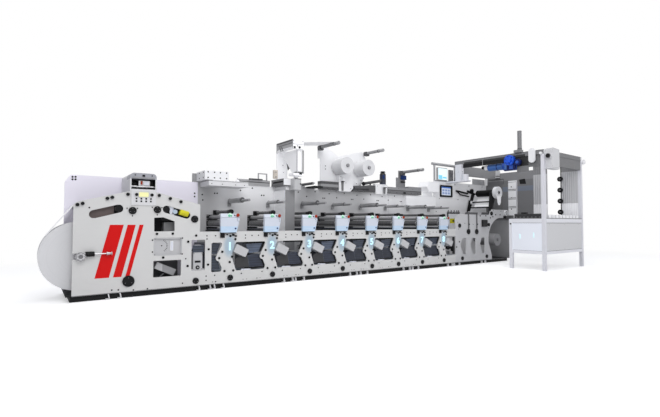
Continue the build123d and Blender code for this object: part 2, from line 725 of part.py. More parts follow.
def stand_rods():
    """Long rods that reach out over the web."""
    left = (STAND_ROLLS[0] - 546, STAND_ROD_Z, 780)
    right = (STAND_ROLLS[1] + 194, STAND_ROD_Z, 690)
    third = (STAND_ROLLS[1] + 1477, STAND_ROD_Z - 378, 802)
    rods = [drum(x, z, STAND_ROD_R, BACK_IN - reach, BACK_IN) for x, z, reach in (left, right, third)]
    plate = block(third[0] - 148, third[0] + 182, BACK_IN, BACK, WALL_TOP, WALL_TOP + 450)
    plate += block(third[0] - 60, third[0] + 182, BACK_IN, BACK, WALL_TOP + 450, WALL_TOP + 640)
    return rods + [plate]


def film_spindle(x):
    front = BACK_IN - STAND_ROLL_LENGTH - STAND_ROLL_SET_BACK - 30
    spindle = drum(x, STAND_Z, SPINDLE_R, front, BACK_IN)
    return spindle + drum(x, STAND_Z, SPINDLE_R + 30, BACK_IN - STAND_ROLL_SET_BACK + 10, BACK_IN)


def film_roll(x):
    back = BACK_IN - STAND_ROLL_SET_BACK
    return ring(x, STAND_Z, STAND_ROLL_R, SPINDLE_R + SEAT_GAP, back - STAND_ROLL_LENGTH, back)


def wall_brackets():
    """Two white plates on the wall, the second with an upright motor on it."""
    x = STAND_ROLLS[0]
    first = face((x - 42, 1914), (x + 300, 1914), (x + 387, 2000), (x + 387, 2300), (x - 42, 2300))
    first_plate = slab(first, BACK_IN - 120, BACK_IN)
    nozzle = drum(x + 60, 2190, 42, BACK_IN - 190, BACK_IN - 120)
    second = panel(x + 1134, x + 1562, 1900, MOTOR_FOOT)
    second_plate = slab(fillet(second.vertices().sort_by(Axis.Y)[:2], 60), BACK_IN - 90, BACK_IN)
    motor = upright(x + 1440, BACK_IN - 45, MOTOR_R, MOTOR_FOOT, MOTOR_FOOT + 243)
    motor += Pos(x + 1440, BACK_IN - 45, MOTOR_FOOT + 243) * Sphere(MOTOR_R)
    return [first_plate, nozzle, second_plate, motor]


def cover_box():
    """Long light cover on the wall beside the last units, with a hexagonal chamber above it."""
    right = PRINT_RIGHT - 9
    cover = block(right - 1210, right, BACK_IN - 120, BACK_IN, WALL_TOP - 294, WALL_TOP - 35)
    chamber_z = WALL_TOP + 250
    hexagon = Pos(right - 310, chamber_z) * RegularPolygon(160, 6)
    hexagon += panel(right - 310, right + 39, chamber_z - 138, chamber_z + 138)
    chamber = slab(hexagon, BACK_IN - 200, BACK + 100)
    feet = block(right - 430, right, BACK_IN, BACK, WALL_TOP, chamber_z - 138)
    return [cover, chamber + feet]


def inspection_frame():
    """Two posts and a round cross tube on the high wall, and a slim blade at the far end."""
    z = CONVERT_WALL_TOP
    left = CONVERT_WALL_LEFT
    tube_z = z + 500
    posts = block(left + 20, left + 80, BACK_IN, BACK, z, tube_z)
    posts += block(left + 960, left + 1020, BACK_IN, BACK, z, tube_z)
    posts += block(left + 80, left + 960, BACK_IN, BACK, z, z + 30)
    tube = Pos(left + 580, (BACK + BACK_IN) / 2, tube_z) * Rot(0, 90, 0) * Cylinder(40, 1260)
    blade = block(MACHINE_RIGHT - 40, MACHINE_RIGHT, BACK_IN, BACK, z, z + 417)
    return [posts + tube, blade]


def inspection_lamps():
    z = CONVERT_WALL_TOP + 30
    left = CONVERT_WALL_LEFT
    screen = block(left + 143, left + 565, BACK_IN - 40, BACK, z, z + 370)
    box = block(left + 695, left + 880, BACK_IN - 20, BACK, z, z + 340)
    return [screen, box]


def touch_panel():
    left = CONVERT_WALL_LEFT + 268
    outline = rounded(panel(left, left + 553, 1938, 2282), 18)
    body = slab(outline, BACK_IN - 35, BACK_IN)
    return body - block(left + 40, left + 513, BACK_IN - 35, BACK_IN - 31, 1978, 2242)


def die_station():
    """Two slim posts, the bridge behind them and the clamp block at the right."""
    centres = (DIE_LEFT, DIE_RIGHT)
    posts = [block(x - 14, x + 14, FRONT - 30, FRONT, RAIL_TOP + 1, CONVERT_TOP) for x in centres]
    clamp = slab(rounded(panel(ARC_X - 981, ARC_X - 766, 1060, 1262), 14), FRONT - 60, FRONT)
    bridge = block(DIE_LEFT - 59, DIE_RIGHT + 67, FRONT, FRONT + 60, CONVERT_TOP, CONVERT_TOP + 60)
    return posts + [clamp, bridge]


def rewind_arms():
    """Two black legs, on the front plate and before the back wall, with cross bars between them."""
    shape = face(
        (ARC_X - 626, CONVERT_TOP),
        (ARC_X - 556, CONVERT_ARM_TOP - 42),
        (ARC_X - 476, CONVERT_ARM_TOP),
        (ARC_X - 430, CONVERT_ARM_TOP),
        (WASTE_X + 70, WASTE_Z),
        (WASTE_X, WASTE_Z + 70),
        (WASTE_X - 70, WASTE_Z),
    )
    shape -= Pos(WASTE_X, WASTE_Z) * Circle(WASTE_SHAFT_R + SEAT_GAP)
    front = slab(shape, FRONT, FRONT_IN)
    rear = slab(shape, BACK_IN - PLATE, BACK_IN)
    bar = drum(WASTE_WEB_X, WASTE_WEB_Z, WASTE_BAR_R, FRONT_IN, BACK_IN - PLATE)
    second = drum(WASTE_WEB_X + 90, WASTE_WEB_Z + 170, WASTE_BAR_R, FRONT_IN, BACK_IN - PLATE)
    return front + rear + bar + second


def waste_disc():
    back = FRONT - 10
    return ring(WASTE_X, WASTE_Z, WASTE_R, WASTE_SHAFT_R + SEAT_GAP, back - WASTE_DEPTH, back)


def waste_roller():
    roller = drum(WASTE_X, WASTE_Z, WASTE_CORE_R, FRONT_IN + RUNNING_GAP, 200)
    return roller + drum(WASTE_X, WASTE_Z, WASTE_SHAFT_R, FRONT - WASTE_DEPTH - 20, BACK_IN - SEAT_GAP)


def end_idler():
    """Idler at the end of the plate's arm, with its wide front collar."""
    x = ARC_X + 234
    return drum(x, CONVERT_TOP + 40, 60, FRONT_IN, BACK_IN)


def rewind_spindle():
    spindle = drum(REWIND_X, REWIND_Z, SPINDLE_R, FRONT - 30, BACK_IN)
    return spindle + drum(REWIND_X, REWIND_Z, 90, BACK_IN - 60, BACK_IN)


def rewind_roll():
    return ring(REWIND_X, REWIND_Z, REWIND_R, SPINDLE_R + SEAT_GAP, FRONT, FRONT + WEB_WIDTH)


def tangent_sheet(first, second, side, front, back):
    """Web between two drums (x, z, radius), left (side 1) or right (side -1) of the line joining them."""
    x0, z0, r0 = first
    x1, z1, r1 = second
    angle = math.atan2(z1 - z0, x1 - x0)
    spread = math.acos((r0 - r1) / math.hypot(x1 - x0, z1 - z0))
    turn = angle + side * spread
    normal = (math.cos(turn), math.sin(turn))
    start = (x0 + r0 * normal[0], z0 + r0 * normal[1])
    end = (x1 + r1 * normal[0], z1 + r1 * normal[1])
    far_end = (end[0] + WEB_THICK * normal[0], end[1] + WEB_THICK * normal[1])
    far_start = (start[0] + WEB_THICK * normal[0], start[1] + WEB_THICK * normal[1])
    return slab(face(start, end, far_end, far_start), front, back)


def paper_web():
    """The stretches of web that show: at the unwind, in the turner, over to the stand, at the arms."""
    half = WEB_WIDTH / 2
    gap = SEAT_GAP + RUNNING_GAP
    roll = (UNWIND_X, UNWIND_Z, UNWIND_ROLL_R + gap)
    idler = (FIRST_IDLER[0], FIRST_IDLER[1], IDLER_R + SEAT_GAP)
    unwind = tangent_sheet(roll, idler, 1, -half, half)
    head = (TURNER_RIGHT - 55, TURNER_HEAD_Z + 140, TURNER_IDLER_R + SEAT_GAP)
    rod = (STAND_ROLLS[0] - 546, STAND_ROD_Z, STAND_ROD_R + SEAT_GAP)
    over = tangent_sheet(head, rod, 1, -half, half)
    bar = (WASTE_WEB_X, WASTE_WEB_Z, WASTE_BAR_R + SEAT_GAP)
    waste = (WASTE_X, WASTE_Z, WASTE_CORE_R + gap)
    rewind = tangent_sheet(bar, waste, -1, FRONT_IN + RUNNING_GAP, 200)
    low = TURNER_FOOT_TOP + SEAT_GAP
    edge = TURNER_FRONT + TURNER_SHEET + SEAT_GAP
    corner = edge + 190
    upper = TURNER_HEAD_Z + TURNER_SHEET
    back = BACK_IN - SEAT_GAP
    outline = Polyline(
        (edge, low), (corner, low), (back, low + back - corner), (back, upper), (edge, upper), close=True
    )
    sheet = extrude(Plane.YZ * make_face(outline), amount=WEB_THICK / 2, both=True)
    return [unwind, over, rewind, Pos(TURNER_WEB_X, 0, 0) * sheet]


def booth_posts():
    """Two front posts and the short column on a shelf of the back wall."""
    half = POST / 2
    y = BOOTH_Y0
    posts = [block(x - half, x + half, y - half, y + half, 0, POST_TOP) for x in (BOOTH_X0, BOOTH_X1)]
    wall_top = CONVERT_WALL_TOP
    left = COLUMN_X - COLUMN_WIDTH / 2
    right = COLUMN_X + COLUMN_WIDTH / 2
    column = block(left, right, -157, 57, wall_top, POST_TOP)
    column += upright(COLUMN_X, -247, 90, wall_top, wall_top + 170)
    column += block(COLUMN_X - 100, COLUMN_X + 100, -360, BACK_IN, wall_top - 40, wall_top)
    return posts + [column]


def booth_side_beams():
    """Beams along both sides, the sill at the right and two hanging plates at the left."""
    half = POST / 2
    top = POST_TOP + BEAM
    front = BOOTH_Y0 - half
    beams = [block(x - half, x + half, front, BOOTH_REAR, POST_TOP, top) for x in (BOOTH_X0, BOOTH_X1)]
    beams[0] += block(BOOTH_X0 - 10, BOOTH_X0 + 10, -2070, -1770, 2470, POST_TOP)
    sill = block(BOOTH_X1 - half, BOOTH_X1 + half, BOOTH_Y0 + half, FRONT, SILL_BOTTOM, BOOTH_WALL_BOTTOM)
    drop = Pos(-2190, POST_TOP - 10) * Rot(0, 0, 90) * SlotOverall(360, 165)
    plate = Pos(BOOTH_X0 - half, 0, 0) * extrude(Plane.YZ * drop, amount=-40)
    cap = drum(BOOTH_X1 + 70, POST_TOP - 20, 65, front - 50, front)
    return beams + [sill, plate, cap]


def booth_cross_beams():
    """Beam over the front posts, the deep beam under it and the deep rear beam."""
    half = POST / 2
    x0 = BOOTH_X0 + half
    x1 = BOOTH_X1 - half
    rear = block(COLUMN_X + COLUMN_WIDTH / 2, BOOTH_X1 + half, -40, 40, REAR_BEAM_BOTTOM, REAR_BEAM_TOP)
    front = block(x0, x1, BOOTH_Y0 - half, BOOTH_Y0 + half, POST_TOP, POST_TOP + BEAM)
    front += block(x0, x1, BOOTH_Y0 - 30, BOOTH_Y0 + 30, FRONT_BEAM_BOTTOM, POST_TOP)
    return [rear, front]


def ribbed_wall(y0, y1):
    """Upright sheet beside the table with shallow ribs on its inner side."""
    x = BOOTH_X1 - 20
    sheet = block(x, x + RIB, y0, y1, BOOTH_WALL_BOTTOM, POST_TOP)
    count = int((y1 - y0) // WALL_RIB_PITCH)
    first = (y0 + y1 - (count - 1) * WALL_RIB_PITCH) / 2
    for step in range(count):
        y = first + step * WALL_RIB_PITCH
        sheet += block(x - RIB, x, y - RIB, y + RIB, BOOTH_WALL_BOTTOM, POST_TOP)
    return sheet


def ribbed_rear_panel():
    """Low ribbed panel on top of the high wall."""
    x0 = MACHINE_RIGHT - 745
    x1 = MACHINE_RIGHT - 72
    high = CONVERT_WALL_TOP + 180
    sheet = block(x0, x1, BACK_IN + RIB, BACK, CONVERT_WALL_TOP, high)
    for step in range(int((x1 - x0) // WALL_RIB_PITCH)):
        x = x0 + (step + 0.5) * WALL_RIB_PITCH
        sheet += block(x - RIB, x + RIB, BACK_IN, BACK_IN + RIB, CONVERT_WALL_TOP, high)
    return sheet


def booth_walls():
    front = BOOTH_Y0 + POST / 2
    return [ribbed_wall(front, DOOR_FRONT), ribbed_wall(DOOR_BACK, WALL_END), ribbed_rear_panel()]


def booth_fans():
    """Upright strip at the doorway's edge with four round black discs on it."""
    x = BOOTH_X1 - 20 - RIB
    strip = block(x, x + 2 * RIB, DOOR_FRONT, DOOR_FRONT + 20, BOOTH_WALL_BOTTOM, POST_TOP)
    low = BOOTH_WALL_BOTTOM + 230
    for step in range(FAN_COUNT):
        spot = Pos(x - 20, DOOR_FRONT + 20, low + step * FAN_PITCH)
        strip += spot * Rot(0, 90, 0) * Cylinder(FAN_R, 40)
    return strip


def side_cabinet():
    """Cabinet beside the end wall, notched under the rear beam."""
    left = MACHINE_RIGHT + CABINET_GAP
    right = BOOTH_X1 + POST / 2
    body = block(left, right, WALL_END, BACK_IN, BOOTH_WALL_BOTTOM, CABINET_TOP)
    return body - block(left, right, -45, 45, REAR_BEAM_BOTTOM, CABINET_TOP)


def clamp_stack():
    """Stack of four white boxes on the cabinet's side, parted by shallow grooves."""
    x1 = MACHINE_RIGHT + CABINET_GAP
    x0 = x1 - 60
    low = BOOTH_WALL_BOTTOM + 160
    height = 1070
    front = FRONT - 250
    stack = block(x0, x1, front, FRONT, low, low + height)
    for step in range(1, 4):
        z = low + step * height / 4
        stack -= block(x0, x0 + 10, front, FRONT, z - 12, z + 12)
    return stack


def blower():
    """Blower that hangs under the left beam of the booth on a flat foot."""
    x = BLOWER_X
    body = Pos(x, -1125, BLOWER_Z - 5) * Rot(90, 0, 0) * Cylinder(BLOWER_BODY_R, 470)
    body += Pos(x, -1525, BLOWER_Z) * Rot(90, 0, 0) * Cylinder(BLOWER_R, 330)
    body += Pos(x, -1740, BLOWER_Z + 20) * Rot(90, 0, 0) * Cylinder(80, 100)
    return body + block(BOOTH_X0 - POST / 2, x + 120, -1620, -1430, POST_TOP - 20, POST_TOP)


def vent_pipe():
    top = POST_TOP + BEAM
    base = block(COLUMN_X - 60, COLUMN_X + 70, -1925, -1740, top, top + 65)
    return base + upright(COLUMN_X, -1870, 52, top + 65, top + 550)


def pump_cabinet():
    """White cabinet in front of the left post, with a round pipe end on its side."""
    front = BOOTH_Y0 - POST / 2
    x = BOOTH_X0 + POST / 2
    shape = face((x, 2490), (x + 390, 2490), (x + 390, 2985), (x + 70, 3005), (x, 2980))
    body = slab(rounded(shape, 12), front - 150, front)
    return body + Pos(x - 25, front - 90, 2800) * Rot(0, 90, 0) * Cylinder(50, 60)


def table_top():
    """Deck between the booth's posts with slats that stand on it."""
    x0 = BOOTH_X0 + POST / 2
    x1 = BOOTH_X1 - POST / 2
    y0 = BOOTH_Y0 - POST / 2
    top = block(x0, x1, y0, TABLE_BACK, TABLE_DECK - TABLE_BOARD, TABLE_DECK)
    for step in range(int((x1 - x0 - SLAT_MARGIN) // SLAT_PITCH)):
        x = x0 + SLAT_MARGIN + step * SLAT_PITCH
        top += block(x, x + SLAT_WIDTH, y0, TABLE_BACK, TABLE_DECK, TABLE_TOP)
    return top


def table_frame():
    """Rear leg, and the rails above and below the panels."""
    half = POST / 2
    x0 = BOOTH_X0 - half
    x1 = BOOTH_X1 - half
    under = TABLE_DECK - TABLE_BOARD
    rail = under - TABLE_RAIL
    inner = TABLE_BACK - POST
    front = BOOTH_Y0 - half
    frame = block(x0, x0 + POST, inner, TABLE_BACK, 0, under)
    frame += block(x0, x1, inner, TABLE_BACK, rail, under)
    for low, high in ((rail, under), (LOW_RAIL_BOTTOM, LOW_RAIL_TOP)):
        frame += block(x0, x0 + POST, BOOTH_Y0 + half, inner, low, high)
    return frame


def table_rails():
    """Upper and lower rail between the two front posts."""
    half = POST / 2
    x0 = BOOTH_X0 + half
    x1 = BOOTH_X1 - half
    under = TABLE_DECK - TABLE_BOARD
    y = BOOTH_Y0 - half
    upper = block(x0, x1, y, y + POST, under - TABLE_RAIL, under)
    return [upper, block(x0, x1, y, y + POST, LOW_RAIL_BOTTOM, LOW_RAIL_TOP)]


def table_panels():
    """Sheets between the rails, at the left and at the front."""
    half = POST / 2
    high = TABLE_DECK - TABLE_BOARD - TABLE_RAIL
    inner = TABLE_BACK - POST
    left = block(BOOTH_X0 - 25, BOOTH_X0 - 5, BOOTH_Y0 + half, inner, LOW_RAIL_TOP, high)
    across = block(BOOTH_X0 + half, BOOTH_X1 - half, BOOTH_Y0 - 25, BOOTH_Y0 - 5, LOW_RAIL_TOP, high)
    return [left, across]


def tray_box():
    """Narrow open tray on the deck, along its left edge."""
    x = BOOTH_X0 + POST / 2
    tray = block(x + 20, x + 110, -2330, -1640, TABLE_DECK, TRAY_TOP)
    return tray - block(x + 32, x + 98, -2318, -1652, TABLE_DECK + 12, TRAY_TOP)


def solids_of(shape):
    """List of the solids in a shape or in a list of shapes."""
    if not isinstance(shape, list):
        return list(shape.solids())
    return [solid for item in shape for solid in solids_of(item)]


def each_unit(maker):
    """One maker's solids for every print unit, in one list."""
    made = []
    for x in units():
        made += solids_of(maker(x))
    return made


NODES = {
    "base_frame": base_frame(),
    "unwind_front_plate": unwind_front_plate(),
    "front_frame_left": front_frame(PRINT_LEFT, 0),
    "front_frame_right": front_frame(0, PRINT_RIGHT),
    "converting_front_plate": convert_front_plate(),
    "back_wall_left": back_wall_left(),
    "back_wall_middle": back_wall_middle(),
    "back_wall_right": back_wall_right(),
    "end_wall": [end_wall(), side_cabinet()],
    "drive_cover": drive_cover(),
    "drip_tray": drip_tray(),
    "unwind_roll": unwind_roll(),
    "unwind_shaft": unwind_shaft(),
    "unwind_chucks": [unwind_chucks(), unwind_lever()],
    "unwind_idlers": unwind_idlers(),
    "paper_web": paper_web(),
    "front_hubs": front_hubs(),
    "web_guide": [web_guide_housing(), web_guide_plate()],
    "window_parts": [window_cover(), lower_window_parts()],
    "print_consoles": each_unit(print_console),
    "console_blocks": each_unit(console_block) + each_unit(console_strip),
    "bearing_blocks": each_unit(bearing_blocks),
    "print_rollers": each_unit(metering_roller) + each_unit(impression_roller),
    "ink_trays": [ink_trays(index) for index in range(UNIT_COUNT)] + each_unit(ink_pan),
    "deflector_boxes": each_unit(deflector_box),
    "bridge_idlers": [bridge_idler(index) for index in range(UNIT_COUNT)],
    "top_ducts": [top_ducts(), riser_duct()],
    "dryer_boxes": dryer_boxes(),
    "tower": [turner_body(), turner_frame(), turner_rollers()],
    "roll_stand": roll_stand(),
    "stand_fittings": [stand_rods(), wall_brackets()],
    "roll_spindles": [film_spindle(x) for x in STAND_ROLLS] + [rewind_spindle(), end_idler()],
    "film_roll_left": film_roll(STAND_ROLLS[0]),
    "film_roll_right": film_roll(STAND_ROLLS[1]),
    "cover_box": cover_box(),
    "inspection_station": [inspection_frame(), inspection_lamps()],
    "touch_panel": touch_panel(),
    "die_station": die_station(),
    "rewind_arms": rewind_arms(),
    "waste_disc": waste_disc(),
    "waste_roller": waste_roller(),
    "rewind_roll": rewind_roll(),
    "booth_posts": booth_posts(),
    "booth_side_beams": booth_side_beams(),
    "booth_cross_beams": booth_cross_beams(),
    "booth_walls": booth_walls(),
    "booth_fans": booth_fans(),
    "blower": blower(),
    "vent_pipe": vent_pipe(),
    "booth_cabinets": [pump_cabinet(), clamp_stack()],
    "table_top": [table_top(), tray_box()],
    "table_frame": [table_frame(), table_rails(), table_panels()],
}
for number in range(UNIT_COUNT):
    NODES[f"plate_cylinder_{number + 1}"] = plate_cylinder(number)

os.makedirs("parts", exist_ok=True)
for name, shape in NODES.items():
    export_step(Compound(children=solids_of(shape)), f"parts/{name}.step")
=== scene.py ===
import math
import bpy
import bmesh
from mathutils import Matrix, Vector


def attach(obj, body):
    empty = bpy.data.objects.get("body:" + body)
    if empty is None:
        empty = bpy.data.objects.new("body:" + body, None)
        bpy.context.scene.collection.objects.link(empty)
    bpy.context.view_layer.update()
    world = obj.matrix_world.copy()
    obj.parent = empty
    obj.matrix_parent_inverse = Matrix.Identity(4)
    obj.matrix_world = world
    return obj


bl_info = {
    "name": "Flexographic printing press",
    "version": (1, 0, 0),
    "blender": (4, 5, 0),
    "location": "View3D > Sidebar > Press",
    "description": "Dresses the press with its finishes, fasteners, controls, screens and stage",
    "category": "Object",
}

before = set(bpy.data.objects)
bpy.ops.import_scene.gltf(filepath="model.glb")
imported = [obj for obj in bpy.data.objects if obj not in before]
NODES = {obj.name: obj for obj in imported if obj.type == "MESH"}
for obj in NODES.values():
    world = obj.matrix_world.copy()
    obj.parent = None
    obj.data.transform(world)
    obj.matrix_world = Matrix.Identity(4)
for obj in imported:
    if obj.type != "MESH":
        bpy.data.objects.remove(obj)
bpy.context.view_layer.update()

# Places on the press, in metres
FRONT = -0.4
WALL = 0.375
CONSOLE_FRONT = -0.455
GUIDE_FRONT = -0.414
TRAY_FRONT = -0.357
TURNER_SIDE = -1.6205
NUMBER_Z = 0.745
UNWIND_X, UNWIND_Z = -5.275, 0.668
LEVER_Y, LEVER_Z = -0.44, 0.7
WASTE_X, WASTE_Z, WASTE_FRONT = 5.4, 2.08, -0.5225
UNIT_COUNT = 8
UNIT_PITCH = 0.85
UNITS = [(index - 3.5) * UNIT_PITCH for index in range(UNIT_COUNT)]
RISER_UNIT = 2

# The camera that stands where the photograph was taken, in metres, degrees and millimetres
CAMERA_PLACE = (-5.84468, -7.37081, 1.16859)
CAMERA_YAW, CAMERA_PITCH, CAMERA_ROLL = 36.0855, 1.996, 0.1086
CAMERA_LENS, CAMERA_SENSOR = 22.209, 36.0


class PressSizes(bpy.types.PropertyGroup):
    """Sizes of the small parts."""
    bolt_radius: bpy.props.FloatProperty(
        name="Bolt radius", description="Radius of the black bolts on the front plates",
        default=0.021, unit="LENGTH")
    stud_radius: bpy.props.FloatProperty(
        name="Stud radius", description="Radius of the small screws on the rails and the wall",
        default=0.009, unit="LENGTH")
    knob_radius: bpy.props.FloatProperty(
        name="Knob radius", description="Radius of the knobs along the top of the unwind plate",
        default=0.025, unit="LENGTH")
    numeral_height: bpy.props.FloatProperty(
        name="Numeral height", description="Height of the lit unit numbers",
        default=0.14, unit="LENGTH")
    softness: bpy.props.FloatProperty(
        name="Edge softness", description="Width of the broken edges on the added parts",
        default=0.002, unit="LENGTH")


class PressColours(bpy.types.PropertyGroup):
    """Colours of the finishes."""
    plate: bpy.props.FloatVectorProperty(
        name="Front plates", description="Light grey of the front plates",
        default=(0.64, 0.638, 0.632), subtype="COLOR", size=3)
    wall: bpy.props.FloatVectorProperty(
        name="Back walls", description="Light grey of the back walls",
        default=(0.807, 0.807, 0.823), subtype="COLOR", size=3)
    accent: bpy.props.FloatVectorProperty(
        name="Accent", description="Red of the slanted bars on the unwind plate",
        default=(0.64, 0.0015, 0.0015), subtype="COLOR", size=3)
    glow: bpy.props.FloatVectorProperty(
        name="Glow", description="Cyan of the lit numbers and screens",
        default=(0.3, 0.85, 1.0), subtype="COLOR", size=3)
    enamel: bpy.props.FloatVectorProperty(
        name="Blower", description="Blue enamel of the blower",
        default=(0.006, 0.078, 0.46), subtype="COLOR", size=3)


class Value:
    """A shader socket or a number, with arithmetic that adds Math nodes."""

    def __init__(self, shader, socket):
        self.shader = shader
        self.socket = socket

    def math(self, operation, *others):
        node = self.shader.tree.nodes.new("ShaderNodeMath")
        node.operation = operation
        for slot, item in zip(node.inputs, (self,) + others):
            self.shader.feed(slot, item)
        return Value(self.shader, node.outputs[0])

    def __add__(self, other):
        return self.math("ADD", other)

    def __radd__(self, other):
        return self.math("ADD", other)

    def __sub__(self, other):
        return self.math("SUBTRACT", other)

    def __rsub__(self, other):
        return Value.lift(self.shader, other).math("SUBTRACT", self)

    def __mul__(self, other):
        return self.math("MULTIPLY", other)

    def __rmul__(self, other):
        return self.math("MULTIPLY", other)

    def __truediv__(self, other):
        return self.math("DIVIDE", other)

    @staticmethod
    def lift(shader, number):
        return number if isinstance(number, Value) else Number(shader, number)


class Number(Value):
    """A plain number on the left of an expression."""

    def __init__(self, shader, number):
        super().__init__(shader, None)
        self.number = number


class Shader:
    """A procedural material, built from one generic node method."""

    def __init__(self, name):
        self.material = bpy.data.materials.new(name)
        self.material.use_nodes = True
        self.tree = self.material.node_tree
        self.tree.nodes.clear()

    def feed(self, slot, item):
        """Links a value to a slot, or sets the slot to a number or colour."""
        if isinstance(item, Number):
            slot.default_value = item.number
        elif isinstance(item, Value):
            self.tree.links.new(item.socket, slot)
        elif isinstance(item, (tuple, list)) and len(item) == 3 and slot.type == "RGBA":
            slot.default_value = (*item, 1.0)
        else:
            slot.default_value = item

    def node(self, kind, settings=None, out=0, **sockets):
        """Any node; a socket is named by its name, or by the letter i and its number."""
        node = self.tree.nodes.new(kind)
        for key, item in (settings or {}).items():
            setattr(node, key, item)
        for key, item in sockets.items():
            slot = node.inputs[int(key[1:])] if key[1:].isdigit() else node.inputs[key.replace("_", " ")]
            self.feed(slot, item)
        return Value(self, node.outputs[out])

    def place(self):
        """The point on the object, in its own axes."""
        return self.node("ShaderNodeTexCoord", out=3)

    def axes(self, place):
        """The three parts of a vector."""
        node = self.tree.nodes.new("ShaderNodeSeparateXYZ")
        self.feed(node.inputs[0], place)
        return [Value(self, socket) for socket in node.outputs]

    def noise(self, place, scale, detail=2.0, rough=0.5):
        return self.node("ShaderNodeTexNoise", Vector=place, Scale=scale, Detail=detail, Roughness=rough)

    def stretch(self, place, scale):
        return self.node("ShaderNodeMapping", Vector=place, Scale=scale)

    def ramp(self, value, low, high, start=0.0, end=1.0):
        """Goes smoothly from start to end while the value goes from low to high."""
        return self.node("ShaderNodeMapRange", {"interpolation_type": "SMOOTHSTEP"},
                         Value=value, From_Min=low, From_Max=high, To_Min=start, To_Max=end)

    def mix(self, factor, first, second):
        return self.node("ShaderNodeMix", {"data_type": "RGBA"}, out=2, i0=factor, i6=first, i7=second)

    def blend(self, kind, factor, first, second):
        return self.node("ShaderNodeMix", {"data_type": "RGBA", "blend_type": kind}, out=2,
                         i0=factor, i6=first, i7=second)

    def inside(self, axes, low, high):
        """Mask that is 1 between two corners; None leaves a side open."""
        mask = 1.0
        for value, start, end in zip(axes, low, high):
            if start is not None:
                mask = value.math("GREATER_THAN", start) * mask
            if end is not None:
                mask = value.math("LESS_THAN", end) * mask
        return mask

    def zoned(self, axes, colour, zones):
        """A colour with other colours inside given boxes."""
        for low, high, other in zones:
            colour = self.mix(self.inside(axes, low, high), colour, other)
        return colour

    def edges(self, radius, low=0.002, high=0.08):
        """Mask that is 1 along sharp edges."""
        soft = self.node("ShaderNodeBevel", {"samples": 3}, Radius=radius)
        flat = self.tree.nodes.new("ShaderNodeNewGeometry")
        dot = self.node("ShaderNodeVectorMath", {"operation": "DOT_PRODUCT"}, out=1,
                        i0=soft, i1=Value(self, flat.outputs[1]))
        return self.ramp(1.0 - dot, low, high)

    def bump(self, height, distance, strength=1.0):
        return self.node("ShaderNodeBump", Strength=strength, Distance=distance, Height=height)

    def surface(self, colour, rough, **more):
        """Ends the material with a Principled shader and gives the material back."""
        node = self.tree.nodes.new("ShaderNodeBsdfPrincipled")
        self.feed(node.inputs["Base Color"], colour)
        self.feed(node.inputs["Roughness"], rough)
        for key, item in more.items():
            self.feed(node.inputs[key.replace("_", " ")], item)
        self.output(Value(self, node.outputs[0]))
        return self.material

    def output(self, value):
        end = self.tree.nodes.new("ShaderNodeOutputMaterial")
        self.tree.links.new(value.socket, end.inputs[0])


def scaled(colour, factor):
    """A colour made lighter or darker, at most white."""
    return tuple(min(1.0, channel * factor) for channel in colour)


def tint(red, green, blue):
    """A colour from its 0 to 255 values."""
    return tuple(((channel / 255.0 + 0.055) / 1.055) ** 2.4 for channel in (red, green, blue))


def even(level):
    """A faintly cool grey from its 0 to 255 value."""
    return tint(level, level, level + 2)


def zone(colour, x=(None, None), y=(None, None), z=(None, None)):
    """A colour inside a box; None leaves a side of the box open."""
    return (*zip(x, y, z), colour)


def coat_paint(name, colour, rough=0.42, grain=260.0, soil=0.1, edge=0.5, coat=0.0, zones=(), ribs=None,
               painted_shade_low=None, light=0.0, painted_shade_bands=()):
    """Powder coat: faint cloudiness, orange peel, soil towards the floor and lighter worn edges; where asked,
    painted shade low down, in bands and in the folds of ribs, and a faint glow as painted light.
    """
    s = Shader(name)
    place = s.place()
    axes = s.axes(place)
    cloud = s.noise(place, 1.7, 4.0)
    fine = s.noise(place, grain, 2.0)
    smear = s.noise(s.stretch(place, (3.0, 3.0, 9.0)), 2.2, 6.0, 0.62)
    low = s.ramp(axes[2], 0.45, 0.0) * s.ramp(smear, 0.35, 0.75)
    stain = low * 0.5 + s.ramp(smear, 0.52, 0.8) * 0.35 + s.ramp(cloud, 0.35, 0.7) * 0.25
    tone = s.zoned(axes, colour, zones)
    # painted shade: the colour darkens towards the bottom, where shadow falls on the lower wall
    if painted_shade_low:
        bottom, top, darker = painted_shade_low
        tone = s.mix(s.ramp(axes[2], top, bottom), tone, darker)
    # painted shade: darker bands across x, where shadows fall on the wall
    for start, full, last, end, darker in painted_shade_bands:
        tone = s.mix(s.ramp(axes[0], start, full) * s.ramp(axes[0], end, last), tone, darker)
    # painted shade: darker stripes in the folds of the ribs
    if ribs:
        pitch, depth, top = ribs
        rib_shade = s.ramp((axes[1] * (2.0 * math.pi / pitch)).math("SINE"), 0.15, 0.95)
        rib_shade = rib_shade * s.ramp(axes[2], 1.7, 1.74, 0.35, 1.0) * s.ramp(axes[2], top + 0.01, top - 0.01)
        tone = s.blend("MULTIPLY", rib_shade * depth, tone, (0.5, 0.5, 0.51))
    tone = s.blend("MULTIPLY", stain * (soil * 2.0), tone, (0.62, 0.62, 0.62))
    worn = s.edges(0.004) * s.ramp(s.noise(place, 23.0, 4.0), 0.4, 0.62)
    lift = 0.25 if max(colour) > 0.2 else 0.06
    tone = s.blend("SCREEN", worn * edge, tone, (lift, lift, lift))
    shine = rough + (smear - 0.5) * 0.16 + worn * 0.1
    # light makes the coat glow faintly: painted light that brightens faces beyond what the lamps give
    more = {"Emission_Color": tone, "Emission_Strength": light} if light else {}
    if max(colour) < 0.1 or name.startswith("red"):
        more["Specular_IOR_Level"] = 0.22
    return s.surface(tone, shine, Normal=s.bump(fine, 0.0003, 0.35), Coat_Weight=coat, **more)


